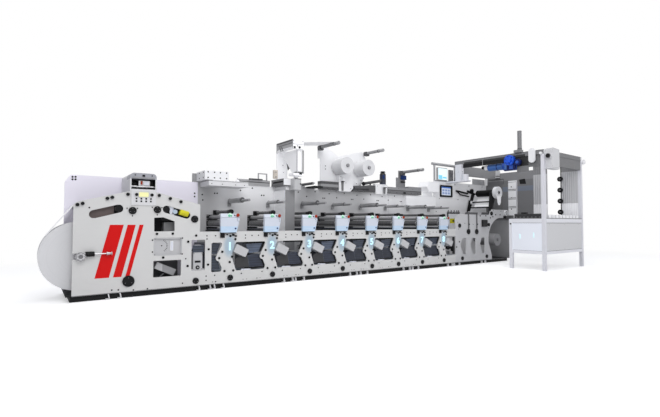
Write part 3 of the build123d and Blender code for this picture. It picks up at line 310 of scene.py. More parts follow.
def plate_paint(name, colour, glow):
    """The front frame's coat, with the glow of the lit numbers lying on the columns."""
    s = Shader(name)
    place = s.place()
    x, _, z = s.axes(place)
    cloud = s.noise(place, 1.3, 4.0)
    smear = s.noise(s.stretch(place, (2.0, 2.0, 7.0)), 2.6, 6.0, 0.62)
    fine = s.noise(place, 260.0, 2.0)
    low = s.ramp(z, 0.4, 0.08) * s.ramp(smear, 0.3, 0.7)
    stain = low * 0.5 + s.ramp(smear, 0.52, 0.8) * 0.3 + s.ramp(cloud, 0.35, 0.7) * 0.25
    tone = s.blend("MULTIPLY", stain * 0.22, colour, (0.62, 0.62, 0.62))
    worn = s.edges(0.004) * s.ramp(s.noise(place, 23.0, 4.0), 0.4, 0.62)
    tone = s.blend("SCREEN", worn * 0.5, tone, (0.25, 0.25, 0.25))
    across = ((x + 0.01 + 4.0 * UNIT_PITCH) / UNIT_PITCH).math("FRACT") - 0.5
    across = across * UNIT_PITCH
    up = (z - NUMBER_Z) * 0.55
    reach = (across * across + up * up).math("SQRT")
    halo = s.ramp(reach, 0.15, 0.06) * s.ramp(z, 0.45, 0.6) * s.ramp(x.math("ABSOLUTE"), 3.25, 3.2)
    tone = s.mix(halo * 0.6, tone, tint(122, 150, 176))
    shine = 0.42 + (smear - 0.5) * 0.16 + worn * 0.1
    light = s.mix(halo, (0.0, 0.0, 0.0), scaled(glow, 0.05))
    normal = s.bump(fine, 0.0003, 0.35)
    return s.surface(tone, shine, Normal=normal, Emission_Color=light, Emission_Strength=1.0)


def turned_steel(name, colour, rough=0.3, lines=(2.0, 900.0, 2.0), metal=1.0, zones=()):
    """Turned or brushed metal with fine lines round the axis and a few darker smears."""
    s = Shader(name)
    place = s.place()
    grooves = s.noise(s.stretch(place, lines), 1.0, 3.0, 0.6)
    cloud = s.noise(place, 6.0, 5.0, 0.6)
    tone = s.zoned(s.axes(place), colour, zones)
    tone = s.blend("MULTIPLY", s.ramp(cloud, 0.35, 0.75) * 0.45, tone, (0.55, 0.55, 0.55))
    tone = s.blend("SCREEN", s.ramp(grooves, 0.45, 0.65) * 0.3, tone, scaled(colour, 0.35))
    shine = rough + (grooves - 0.5) * 0.25 + (cloud - 0.5) * 0.15
    return s.surface(tone, shine, Metallic=metal, Normal=s.bump(grooves, 0.0002, 0.3))


def moulded(name, colour, rough=0.5):
    """Moulded plastic or black oxide with a fine texture and paler rubbed edges."""
    s = Shader(name)
    place = s.place()
    fine = s.noise(place, 420.0, 2.0)
    cloud = s.noise(place, 9.0, 4.0)
    worn = s.edges(0.003) * s.ramp(s.noise(place, 31.0, 3.0), 0.35, 0.6)
    tone = s.mix(s.ramp(cloud, 0.4, 0.75) * 0.4, colour, scaled(colour, 1.8))
    tone = s.mix(worn * 0.5, tone, tuple(channel * 0.5 + 0.09 for channel in colour))
    shine = rough + (cloud - 0.5) * 0.2
    return s.surface(tone, shine, Normal=s.bump(fine, 0.0002, 0.4), Specular_IOR_Level=0.12)


def wound_web(name, colour, centres):
    """Wound paper or film: fine rings on the ends of the rolls, smooth on the outside."""
    s = Shader(name)
    place = s.place()
    x, _, z = s.axes(place)
    cx, cz = centres
    dx = x - cx
    dz = z - cz
    radius = (dx * dx + dz * dz).math("SQRT")
    close = s.node("ShaderNodeCombineXYZ", X=radius * 420.0)
    wide = s.node("ShaderNodeCombineXYZ", X=radius * 46.0)
    rings = s.node("ShaderNodeTexNoise", Vector=close, Scale=1.0, Detail=2.0)
    broad = s.node("ShaderNodeTexNoise", Vector=wide, Scale=1.0, Detail=3.0)
    fibre = s.noise(place, 160.0, 3.0)
    normal = s.tree.nodes.new("ShaderNodeNewGeometry")
    facing = s.axes(Value(s, normal.outputs[1]))[1].math("ABSOLUTE")
    end = s.ramp(facing, 0.6, 0.9)
    lines = 0.12 * s.ramp(rings, 0.35, 0.65) + 0.14 * s.ramp(broad, 0.45, 0.75)
    tone = s.mix(end * lines, colour, scaled(colour, 0.74))
    tone = s.mix(s.ramp(fibre, 0.45, 0.75) * 0.06, tone, scaled(colour, 0.85))
    return s.surface(tone, 0.62, Normal=s.bump(rings * end + fibre * 0.3, 0.0004, 0.35))


def perforated(name, colour):
    """Dark blue sheet with staggered rows of fine holes and a faint waviness."""
    s = Shader(name)
    place = s.place()
    x, y, z = s.axes(place)
    row = (z * 42.0).math("FRACT") - 0.5
    shift = (z * 42.0).math("FLOOR") * 0.5
    column = (y * 42.0 + shift).math("FRACT") - 0.5
    spot = (row * row + column * column).math("SQRT")
    holes = s.ramp(spot, 0.3, 0.2)
    waves = ((z + x * 0.35) * 75.0).math("SINE")
    cloud = s.noise(place, 4.0, 4.0)
    tone = s.mix(s.ramp(cloud, 0.3, 0.75) * 0.5, colour, scaled(colour, 1.9))
    tone = s.mix(holes * 0.7, tone, scaled(colour, 0.18))
    worn = s.edges(0.006)
    tone = s.mix(worn * 0.6, tone, (0.2, 0.24, 0.32))
    return s.surface(tone, 0.36 + (cloud - 0.5) * 0.2, Normal=s.bump(waves * 0.4 - holes, 0.002, 0.5))


def enamel(name, colour):
    """Glossy blue enamel over a casting."""
    s = Shader(name)
    place = s.place()
    cloud = s.noise(place, 5.0, 5.0, 0.6)
    cast = s.noise(place, 90.0, 3.0)
    worn = s.edges(0.006) * s.ramp(s.noise(place, 17.0, 4.0), 0.45, 0.62)
    tone = s.mix(s.ramp(cloud, 0.35, 0.75) * 0.6, colour, scaled(colour, 0.45))
    tone = s.mix(worn * 0.5, tone, (0.1, 0.22, 0.55))
    return s.surface(tone, 0.3 + (cloud - 0.5) * 0.15, Normal=s.bump(cast, 0.0008, 0.4), Coat_Weight=0.25)


def lit(name, colour, strength=1.0, base=(0.8, 0.8, 0.8)):
    """Lit lens, a little uneven like a diffuser over lamps."""
    s = Shader(name)
    place = s.place()
    cloud = s.noise(place, 30.0, 3.0)
    light = s.mix(s.ramp(cloud, 0.3, 0.8) * 0.25, colour, scaled(colour, 0.8))
    return s.surface(base, 0.35, Emission_Color=light, Emission_Strength=strength)


def clear_knob(name):
    """Cloudy clear plastic with a hard shine."""
    s = Shader(name)
    place = s.place()
    cloud = s.noise(place, 40.0, 3.0)
    tone = s.mix(s.ramp(cloud, 0.3, 0.7) * 0.5, (0.55, 0.6, 0.66), (0.8, 0.86, 0.92))
    return s.surface(tone, 0.12, Coat_Weight=0.5)


def finishes():
    """Every finish of the press by name, made once."""
    colours = bpy.context.scene.press_colours
    plate = tuple(colours.plate)
    wall = tuple(colours.wall)
    glow = tuple(colours.glow)
    return {
        "plate": coat_paint("light_grey_coat", plate),
        "plate_end": coat_paint("light_grey_coat_end", even(200)),
        "plate_lit": plate_paint("light_grey_coat_with_glow", plate, glow),
        # wall: painted shade below about 1.45 to 1.85 m and in two bands across x, and a faint glow as painted
        # light
        "wall": coat_paint(
            "wall_coat", wall, rough=0.45, painted_shade_low=(1.45, 1.85, even(206)), light=0.1,
            painted_shade_bands=((-3.6, -3.5, -3.15, -2.75, even(172)), (-1.4, -0.95, 0.65, 1.35, even(172)))),
        "wall_left": coat_paint("wall_coat_lilac", tint(246, 242, 254), rough=0.45, soil=0.06),
        # wall_right: painted shade below about 1.45 to 1.95 m, and a faint glow as painted light
        "wall_right": coat_paint("wall_coat_right", wall, rough=0.45, painted_shade_low=(1.45, 1.95, even(212)), light=0.1,
            zones=(zone(even(112), x=(3.58, None), z=(0.1, 1.25)),)),
        "white": coat_paint("white_coat", even(243), soil=0.05),
        "panel": coat_paint("cool_white_coat", tint(217, 220, 230), soil=0.05),
        "grey": coat_paint("mid_grey_coat", even(103), rough=0.5, soil=0.12),
        "mid": coat_paint("stone_grey_coat", even(146), rough=0.48, soil=0.12),
        "black": coat_paint("black_coat", (0.012, 0.012, 0.013), rough=0.5, soil=0.05),
        # console: a faint glow, and the bluish lower part, are painted light
        "console": coat_paint("console_coat", tint(204, 210, 222), rough=0.32, soil=0.04, coat=0.15, light=0.05,
            zones=(zone(tint(188, 210, 232), z=(None, 1.1)),)),
        "tray": perforated("perforated_blue_sheet", (0.026, 0.034, 0.052)),
        "steel": turned_steel("turned_steel", (0.6, 0.6, 0.62)),
        "tray_steel": turned_steel("bright_sheet", (0.5, 0.58, 0.68), 0.34, (60.0, 2.0, 2.0), 0.6),
        # roller: the bright band at 1.22 to 1.31 m is a painted highlight along the tops of the rollers
        "roller": turned_steel("ground_roller_painted_highlight", (0.07, 0.07, 0.075), 0.3, metal=0.3, zones=(
            zone((0.33, 0.33, 0.34), z=(1.22, 1.312)), zone((0.12, 0.12, 0.125), z=(1.13, 1.22)),
            zone((0.01, 0.01, 0.01), z=(1.32, 1.5)),
            zone((0.16, 0.16, 0.165), y=(-0.28, 0.24), z=(1.32, 1.5)))),
        "roller_black": moulded("rubber_roller", (0.005, 0.005, 0.005), 0.55),
        "idler": turned_steel("grey_idler", (0.2, 0.2, 0.21), 0.36, metal=0.6),
        "idler_bright": turned_steel("bright_idler", (0.46, 0.46, 0.47), 0.34, metal=0.7),
        "idler_slots": turned_steel("idlers_behind_slots", (0.26, 0.26, 0.27), 0.36, metal=0.4, zones=(
            zone((0.01, 0.01, 0.01), x=(-4.85, -4.75), z=(1.33, 1.42)),
            zone((0.012, 0.012, 0.013), x=(-4.1, -4.02), z=(1.34, 1.42)),
            zone(tint(190, 205, 222), x=(-3.98, -3.9), z=(1.3, 1.39)),
            zone(tint(140, 142, 10), x=(-3.82, -3.73), z=(1.25, 1.34)))),
        "plastic": moulded("black_moulding", (0.01, 0.01, 0.011)),
        # paper: light=0.22 is a faint glow, painted light that stands in for light through the web
        "paper": coat_paint("paper_web_sheet", even(232), rough=0.6, soil=0.02, edge=0.0, light=0.22),
        "slats": coat_paint("deck_and_slats", even(246), rough=0.4, soil=0.05, zones=(
            zone(even(44), (4.25, 4.352), (-2.335, -1.635), (1.293, 1.405)),
            zone(even(130), z=(1.27, 1.296)))),
        "enamel": enamel("blue_enamel", tuple(colours.enamel)),
        "red": coat_paint("red_vinyl", tuple(colours.accent), rough=0.35, soil=0.03, edge=0.1),
        "glow": lit("lit_cyan", tint(205, 240, 250), 1.0, (0.15, 0.3, 0.35)),
        "screen_glow": lit("lit_screen", tint(226, 246, 250), 0.95, (0.3, 0.35, 0.35)),
        "screen_cyan": lit("lit_screen_cyan", tint(120, 205, 240), 0.95, (0.1, 0.2, 0.3)),
        "yellow": lit("lit_pale_yellow", tint(246, 244, 178), 0.92, (0.1, 0.1, 0.06)),
        "green": lit("lit_green", (0.12, 0.5, 0.32), 0.6, (0.05, 0.25, 0.14)),
        "green_pale": lit("lit_pale_green", tint(196, 236, 214), 0.85, (0.2, 0.3, 0.24)),
        "knob_red": moulded("red_moulding", (0.3, 0.03, 0.012), 0.3),
        "knob_clear": clear_knob("clear_moulding"),
        "knob_yellow": moulded("yellow_moulding", (0.62, 0.56, 0.03), 0.4),
        "blue": moulded("dark_blue_moulding", (0.008, 0.03, 0.13), 0.4),
        "screen_pale": lit("screen_pale", tint(196, 208, 226), 0.8, (0.2, 0.2, 0.22)),
        "screen_mid": lit("screen_mid", tint(120, 145, 190), 0.8, (0.1, 0.1, 0.15)),
        "screen_blue": lit("screen_blue", tint(40, 95, 175), 0.8, (0.05, 0.08, 0.2)),
        "web_guide": coat_paint("web_guide_coat", even(214), soil=0.06, zones=(
            zone(tint(158, 159, 166), y=(None, -0.1), z=(1.855, None)),
            zone(even(26), (-4.613, -4.25), (-0.385, -0.06), (1.69, 1.858)))),
        "window_parts": coat_paint("window_covers", even(190), rough=0.45, zones=(
            zone(even(150), x=(-4.11, -3.8), z=(0.25, 0.55)),)),
        # ducts: a faint glow as painted light; the riser's face toward -x is painted near white as painted
        # light, lighter than its grey front
        "ducts": coat_paint("duct_coat", even(165), rough=0.48, light=0.06, zones=(
            zone(even(215), x=(-3.3, -2.49), z=(1.84, 1.952)),
            zone(even(150), x=(-3.43, -3.2), z=(1.93, 2.12)),
            zone(even(134), x=(-1.682, -1.45), z=(0.55, 1.85)),
            zone(even(250), x=(-1.7, -1.682), z=(0.55, 1.85)))),
        "dryers": coat_paint("dryer_coat", even(240), soil=0.06, zones=(
            zone(even(118), x=(-1.76, -1.575), z=(1.92, 2.08)),
            zone(tint(218, 208, 196), x=(-1.71, -1.615), z=(2.1, 2.3)))),
        # tower: a faint glow as painted light, and painted shade on the head's side toward -x
        "tower": coat_paint("tower_coat", even(246), soil=0.04, light=0.1, zones=(
            zone(even(156), x=(None, -1.612), z=(2.655, 2.9)), zone(even(178), z=(1.8, 2.1)))),
        "stand_parts": coat_paint("stand_fittings_coat", even(240), soil=0.06, zones=(
            zone(even(148), z=(2.84, None)), zone(even(132), x=(1.98, 2.36), z=(1.93, 2.6)),
            zone(tint(24, 32, 58), (1.34, 1.56), (0.235, 0.43), (2.16, 2.5)),
            zone(even(14), (1.34, 1.56), (0.235, 0.43), (2.4, 2.5)))),
        # cover: a faint glow as painted light
        "cover": coat_paint("cover_coat", even(240), rough=0.45, light=0.08, zones=(
            zone(even(246), z=(1.95, None)),)),
        "inspection": coat_paint("inspection_coat", even(168), rough=0.45, soil=0.08, zones=(
            zone(even(228), x=(6.05, None)), zone(even(122), x=(4.19, 4.42), z=(2.4, 2.78)))),
        # side_beams: the near-black strip at 2.855 to 2.912 m is painted shade inside the beam's channel
        "side_beams": coat_paint("booth_beam_coat", even(120), rough=0.5, soil=0.15, zones=(
            zone(even(34), (4.1, 4.245), (-2.0, -0.2), (2.855, 2.912)),
            zone(even(20), (4.18, 4.22), (-2.1, -1.75), (2.62, 2.858)),
            zone(even(118), (4.18, 4.22), (-2.1, -1.75), (2.46, 2.62)),
            zone(even(240), (4.1, 4.159), (-2.4, -2.0), (2.6, 3.1)), zone(even(236), y=(None, -2.469)),
            zone(even(200), x=(6.16, None), z=(1.15, 1.26)))),
        "cross_beams": coat_paint("booth_cross_coat", even(140), rough=0.5, soil=0.15, zones=(
            zone(even(112), y=(None, -2.3)),)),
        # booth_wall: painted shade in the folds of the ribs
        "booth_wall": coat_paint("ribbed_wall_coat", even(202), rough=0.45, soil=0.08, ribs=(0.056, 0.45, 2.6),
            zones=(zone(even(250), z=(None, 1.72)), zone(even(138), z=(2.6, 2.9)))),
        "side_cabinet": coat_paint("side_cabinet_coat", even(116), rough=0.5, zones=(
            zone(even(108), (6.1, None), (-0.21, None), (1.2, 2.56)),
            zone(even(134), (6.1, None), (-1.16, None), (2.5, None)),
            zone(tint(116, 123, 136), (6.1, None), (-1.16, -0.21), (2.15, 2.3)),
            zone(even(150), z=(None, 1.25)), zone(even(206), (6.1, 6.19), (-0.66, -0.39), (1.4, 2.49)))),
        "booth_white": coat_paint("booth_cabinet_coat", even(208), soil=0.06, zones=(
            zone(even(245), (6.1, 6.19), (-0.66, -0.39), (1.4, 2.49)),)),
        "post": coat_paint("post_coat", tint(222, 222, 228), soil=0.06),
        # table: the panel toward -x is painted lighter as painted light, the front panel darker as painted
        # shade
        "table": coat_paint("table_coat", tint(232, 232, 238), soil=0.05, zones=(
            zone(tint(243, 246, 254), (4.17, 4.2), (-2.385, -1.6), (0.476, 1.179)),
            zone(even(212), (4.245, 6.165), (-2.46, -2.43), (0.476, 1.179)))),
        "pipe": coat_paint("pipe_coat", even(124), rough=0.45, soil=0.12),
        # painted shade: a darker copy of the blower's blue enamel, for its shaded parts
        "enamel_dark": coat_paint("blue_enamel_painted_shade", tint(14, 28, 86), rough=0.35),
        "beam_dark": coat_paint("beam_web_dark", even(28), rough=0.55, soil=0.15),
        "beam_grey": coat_paint("beam_panel_grey", even(108), rough=0.5),
        "duct_dark": coat_paint("duct_dark_grey", even(86), rough=0.5, soil=0.12),
        # painted shade: near black for the insides behind the slots and windows
        "soot": coat_paint("unit_interior_painted_shade", even(34), rough=0.7),
        "brown": coat_paint("slot_interior_brown", tint(98, 86, 84), rough=0.6),
        # facets: flat shapes whose lighter upper and darker lower tones, darker again for far units, are
        # painted light and shade
        "facet": perforated("tray_upper_facet", tint(74, 84, 102)),
        "die": coat_paint("die_station_coat", even(112), rough=0.5, zones=(
            zone(even(14), x=(4.66, 4.93), z=(1.0, 1.3)), zone(even(84), z=(1.38, None)))),
        "facet_far": perforated("tray_upper_far", tint(46, 54, 70)),
        "facet_low_far": perforated("tray_lower_far", tint(28, 33, 46)),
        "enamel_pale": coat_paint("grey_blue_enamel", tint(62, 104, 172), rough=0.35),
        # painted light: a brighter copy of the blower's blue enamel, for its lit head
        "enamel_lit": coat_paint("blue_enamel_painted_light", tint(14, 84, 214), rough=0.35),
        "shade": coat_paint("column_shade", even(64), rough=0.5),
        "facet_low": perforated("tray_lower_facet", tint(36, 42, 58)),
        "deflector": coat_paint("deflector_coat", even(192), soil=0.08),
    }


CAD_FINISH = {
    "base_frame": "black", "unwind_front_plate": "plate", "front_frame_left": "plate_lit",
    "front_frame_right": "plate_lit", "converting_front_plate": "plate_end", "back_wall_left": "wall_left",
    "back_wall_middle": "wall", "back_wall_right": "wall_right", "end_wall": "side_cabinet",
    "drive_cover": "wall", "drip_tray": "tray_steel", "unwind_shaft": "steel", "unwind_chucks": "steel",
    "unwind_idlers": "idler_slots", "paper_web": "paper", "front_hubs": "plastic", "web_guide": "web_guide",
    "window_parts": "window_parts", "print_consoles": "console", "console_blocks": "plastic",
    "bearing_blocks": "black", "print_rollers": "roller", "ink_trays": "tray", "deflector_boxes": "deflector",
    "bridge_idlers": "mid", "top_ducts": "ducts", "dryer_boxes": "dryers", "tower": "tower",
    "roll_stand": "white", "stand_fittings": "stand_parts", "roll_spindles": "idler", "cover_box": "cover",
    "inspection_station": "inspection", "touch_panel": "plastic", "die_station": "die",
    "rewind_arms": "black", "waste_disc": "white", "waste_roller": "roller_black", "booth_posts": "post",
    "booth_side_beams": "side_beams", "booth_cross_beams": "cross_beams", "booth_walls": "booth_wall",
    "booth_fans": "plastic", "blower": "enamel", "vent_pipe": "pipe", "booth_cabinets": "booth_white",
    "table_top": "slats", "table_frame": "table",
}
ROLLS = {
    "unwind_roll": (UNWIND_X, UNWIND_Z), "film_roll_left": (0.018, 2.497), "film_roll_right": (0.676, 2.497),
    "rewind_roll": (5.49, 0.668),
}
FINISHES = {}


def finish(name):
    """One finish by name."""
    if not FINISHES:
        FINISHES.update(finishes())
    return FINISHES[name]


def turn_to(axis):
    """Turns the Z axis of a made shape to lie along the given axis."""
    if axis == "X":
        return Matrix.Rotation(math.pi / 2, 4, "Y")
    if axis == "Y":
        return Matrix.Rotation(math.pi / 2, 4, "X")
    return Matrix.Identity(4)


def add_object(name, data):
    """A new object of the scene, at the origin."""
    made = bpy.data.objects.new(name, data)
    bpy.context.scene.collection.objects.link(made)
    return made


class Piece:
    """A mesh that gathers shapes, each in one of the piece's finishes."""

    def __init__(self, name):
        self.name = name
        self.materials = []
        self.mesh = bmesh.new()

    def colour(self, made, finish_name):
        """Gives a made shape its finish, in a new material slot where the finish has none yet."""
        if finish_name not in self.materials:
            self.materials.append(finish_name)
        for face in {face for vert in made["verts"] for face in vert.link_faces}:
            face.material_index = self.materials.index(finish_name)

    def rod(self, x, y, z, radius, depth, finish_name, axis="Y", sides=12, tip=None):
        """Round rod or cone, centred on its middle."""
        place = Matrix.Translation((x, y, z)) @ turn_to(axis)
        made = bmesh.ops.create_cone(self.mesh, cap_ends=True, segments=sides, radius1=radius,
                                     radius2=radius if tip is None else tip, depth=depth, matrix=place)
        self.colour(made, finish_name)

    def stud(self, x, z, radius, depth, finish_name, front=FRONT, sides=12):
        """Short round head on a face that looks to the operator."""
        self.rod(x, front - depth / 2, z, radius, depth, finish_name, "Y", sides)

    def studs(self, places, radius, depth, finish_name, front=FRONT, sides=12):
        """Studs of one size at (x, z) places."""
        for x, z in places:
            self.stud(x, z, radius, depth, finish_name, front, sides)

    def rods(self, finish_name, axis, sides, *rows):
        """Rods of one finish and axis, each with its middle, radius and depth."""
        for row in rows:
            self.rod(*row, finish_name, axis, sides)

    def box(self, x0, x1, y0, y1, z0, z1, finish_name, turn=0.0):
        """Box between two corners, turned about its own depth axis."""
        place = Matrix.Translation(((x0 + x1) / 2, (y0 + y1) / 2, (z0 + z1) / 2))
        place = place @ Matrix.Rotation(turn, 4, "Y") @ Matrix.Diagonal((x1 - x0, y1 - y0, z1 - z0, 1.0))
        self.colour(bmesh.ops.create_cube(self.mesh, size=1.0, matrix=place), finish_name)

    def boxes(self, finish_name, *rows):
        """Boxes of one finish, each with its limits in x, y and z."""
        for row in rows:
            self.box(*row, finish_name)

    def outline(self, points, near, far, finish_name, side=False):
        """Flat shape through (x, z) points, or (y, z) points on a side, given a depth."""
        spots = [(near, a, z) if side else (a, near, z) for a, z in points]
        verts = [self.mesh.verts.new(spot) for spot in spots]
        first = self.mesh.faces.new(verts)
        made = bmesh.ops.extrude_face_region(self.mesh, geom=[first])
        moved = [item for item in made["geom"] if isinstance(item, bmesh.types.BMVert)]
        push = (far - near, 0.0, 0.0) if side else (0.0, far - near, 0.0)
        bmesh.ops.translate(self.mesh, verts=moved, vec=push)
        self.colour({"verts": verts + moved}, finish_name)

    def bar(self, start, end, width, depth, finish_name, across=(0.0, 1.0, 0.0)):
        """Flat bar from one point to another; its depth lies along the given axis."""
        start, end, side = Vector(start), Vector(end), Vector(across)
        along = (end - start).normalized()
        turn = Matrix((along.cross(side), side, along)).transposed().to_4x4()
        size = Matrix.Diagonal((width, depth, (end - start).length, 1.0))
        place = Matrix.Translation((start + end) / 2) @ turn @ size
        self.colour(bmesh.ops.create_cube(self.mesh, size=1.0, matrix=place), finish_name)

    def bars(self, finish_name, *rows):
        """Bars of one finish, each with its ends, width and depth."""
        for row in rows:
            self.bar(*row, finish_name)

    def tube(self, start, end, radius, finish_name, sides=16):
        """Round bar from one point to another."""
        start, end = Vector(start), Vector(end)
        turn = (end - start).to_track_quat("Z", "Y").to_matrix().to_4x4()
        made = bmesh.ops.create_cone(self.mesh, cap_ends=True, segments=sides, radius1=radius, radius2=radius,
                                     depth=(end - start).length,
                                     matrix=Matrix.Translation((start + end) / 2) @ turn)
        self.colour(made, finish_name)

    def tubes(self, finish_name, sides, *rows):
        """Tubes of one finish, each with its ends and radius."""
        for row in rows:
            self.tube(*row, finish_name, sides)

    def ball(self, x, y, z, radius, finish_name):
        """Round ball about its middle."""
        made = bmesh.ops.create_uvsphere(self.mesh, u_segments=14, v_segments=8, radius=radius,
                                         matrix=Matrix.Translation((x, y, z)))
        self.colour(made, finish_name)

    def ring(self, x, y, z, radius, thick, finish_name, axis="Y", sides=24):
        """Round ring of square section."""
        turn = Matrix.Translation((x, y, z)) @ turn_to(axis)
        inner, outer = radius - thick, radius + thick
        section = ((inner, -thick), (outer, -thick), (outer, thick), (inner, thick))
        verts = [self.mesh.verts.new((r, 0.0, h)) for r, h in section]
        face = self.mesh.faces.new(verts)
        made = bmesh.ops.spin(self.mesh, geom=[face], cent=(0, 0, 0), axis=(0, 0, 1), angle=2 * math.pi,
                              steps=sides, use_merge=True)
        parts = set(verts) | {item for item in made["geom_last"] if isinstance(item, bmesh.types.BMVert)}
        seen = set()
        queue = [vert for vert in parts if vert.is_valid]
        while queue:
            vert = queue.pop()
            if vert in seen:
                continue
            seen.add(vert)
            queue += [edge.other_vert(vert) for edge in vert.link_edges]
        bmesh.ops.transform(self.mesh, matrix=turn, verts=list(seen))
        self.colour({"verts": list(seen)}, finish_name)

    def done(self, body="root", soft=True, smooth=True):
        """Makes the object, softens its edges and hangs it on its body."""
        bmesh.ops.recalc_face_normals(self.mesh, faces=self.mesh.faces)
        mesh = bpy.data.meshes.new(self.name)
        self.mesh.to_mesh(mesh)
        self.mesh.free()
        for name in self.materials:
            mesh.materials.append(finish(name))
        if smooth:
            mesh.shade_smooth()
            mesh.set_sharp_from_angle(angle=math.radians(35))
        piece = add_object(self.name, mesh)
        if soft:
            bevel = piece.modifiers.new("broken edges", "BEVEL")
            bevel.width = bpy.context.scene.press_sizes.softness
            bevel.segments = 1
            bevel.limit_method = "ANGLE"
            bevel.angle_limit = math.radians(50)
        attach(piece, body)


class PRESS_OT_finishes(bpy.types.Operator):
    """Give every modelled part of the press its finish"""
    bl_idname = "press.finishes"
    bl_label = "Finishes"

    def execute(self, context):
        for name, node in NODES.items():
            key = CAD_FINISH.get(name, "roller")
            if name in ROLLS:
                material = wound_web(f"wound_{name}", even(142 if name == "rewind_roll" else 220), ROLLS[name])
            else:
                material = finish(key)
            node.data.materials.clear()
            node.data.materials.append(material)
        return {"FINISHED"}


class PRESS_OT_plate_bolts(bpy.types.Operator):
    """Black bolts and small screws on the front plates"""
    bl_idname = "press.plate_bolts"
    bl_label = "Plate bolts"

    def execute(self, context):
        sizes = context.scene.press_sizes
        bolts = Piece("front_bolts")
        around = (
            (-0.106, 0.307), (0.058, 0.309), (-0.01, 0.463), (0.033, 0.555), (-0.205, 0.542), (-0.149, 0.65),
            (0.092, 0.868), (-0.002, 0.927))
        for x in UNITS:
            for dx, z in around:
                bolts.stud(x + dx, z, sizes.bolt_radius, 0.012, "plastic")
        single = (
            (-3.371, 0.703), (-3.38, 0.439), (-3.59, 0.944), (-3.724, 0.844), (-3.728, 0.436), (-4.122, 0.597),
            (-4.224, 0.983), (-3.977, 0.983), (3.635, 0.651), (3.509, 0.513), (4.617, 1.377), (4.894, 1.38),
            (5.255, 1.358), (5.127, 1.323), (5.401, 1.417), (5.638, 1.42))
        bolts.studs(single, sizes.bolt_radius * 0.95, 0.012, "plastic")
        bolts.done()
        screws = Piece("small_screws")
        low = (0.25, 0.32, 0.52, 0.59, -0.32)
        for x in UNITS[:-1]:
            for dx in low:
                screws.stud(x + dx, 0.135, sizes.stud_radius * 0.8, 0.005, "plastic", sides=8)
            for dx, z in (
                    (0.29, 0.938), (0.29, 0.885), (0.42, 0.93), (0.55, 0.93), (0.215, 0.243), (0.63, 0.25)):
                screws.stud(x + dx, z, sizes.stud_radius * 1.35, 0.005, "plastic", sides=10)
        odd = (
            (-3.403, 0.938), (-3.402, 0.882), (-3.249, 0.936), (-3.41, 0.17), (-3.258, 0.245), (-3.24, 0.133),
            (-3.41, 0.243), (-5.176, 1.385), (-4.353, 0.114), (-4.557, 0.115), (-4.858, 0.141),
            (-4.769, 0.135), (-3.807, 0.155), (-4.29, 0.883), (-4.287, 0.693), (-3.818, 0.907), (-3.82, 0.642),
            (-3.76, 0.56), (3.574, 1.19), (3.892, 1.158), (4.273, 1.132), (4.737, 1.159), (5.025, 1.02),
            (3.6, 1.0), (5.69, 1.52), (5.28, 1.54))
        screws.studs(odd, sizes.stud_radius * 1.35, 0.005, "plastic", sides=10)
        for x, z in ((-4.59, 1.352), (-4.223, 1.373)):
            for dx, dz in ((-0.078, 0.036), (0.07, 0.036), (0.0, -0.082)):
                screws.stud(x + dx, z + dz, 0.01, 0.006, "plastic", sides=8)
        screws.done()
        rings = Piece("hub_screws")
        hubs = [(x, 0.184, 0.052) for x in UNITS]
        hubs += [
            (-4.59, 1.352, 0.057), (-4.223, 1.373, 0.057), (-3.621, 1.225, 0.06), (-4.631, 0.257, 0.086),
            (-3.59, 0.178, 0.052), (3.649, 1.097, 0.057), (4.049, 0.927, 0.075), (4.433, 0.922, 0.075),
            (5.037, 1.122, 0.05), (5.183, 1.452, 0.06), (3.763, 0.193, 0.052), (4.92, 0.194, 0.052)]
        for x, z, radius in hubs:
            for step in range(3):
                turn = math.radians(90 + 120 * step)
                spot = (x + math.cos(turn) * radius * 0.6, z + math.sin(turn) * radius * 0.6)
                rings.stud(*spot, 0.006, 0.004, "idler", FRONT - 0.018, 8)
        rings.done()
        return {"FINISHED"}


class PRESS_OT_edge_knobs(bpy.types.Operator):
    """Knobs along the top edge of the unwind plate"""
    bl_idname = "press.edge_knobs"
    bl_label = "Edge knobs"

    def execute(self, context):
        radius = context.scene.press_sizes.knob_radius
        knobs = Piece("edge_knobs")
        places = (
            (-5.327, 1.425), (-5.263, 1.445), (-4.943, 1.53), (-4.877, 1.549), (-4.661, 1.605), (-4.2, 1.605),
            (-4.027, 1.56), (-3.855, 1.514))
        knobs.studs(places, radius, 0.03, "plastic", sides=16)
        knobs.done()
        return {"FINISHED"}


class PRESS_OT_accent_bars(bpy.types.Operator):
    """Slanted red bars on the unwind plate"""
    bl_idname = "press.accent_bars"
    bl_label = "Accent bars"

    def execute(self, context):
        bars = Piece("accent_bars")
        low, high, lean = 0.33, 1.13, 0.19
        for x, width in ((-5.09, 0.19), (-4.845, 0.115), (-4.675, 0.06)):
            points = [(x, low), (x + width, low), (x + width + lean, high), (x + lean, high)]
            bars.outline(points, FRONT, FRONT - 0.0015, "red")
        bars.done(soft=False, smooth=False)
        return {"FINISHED"}


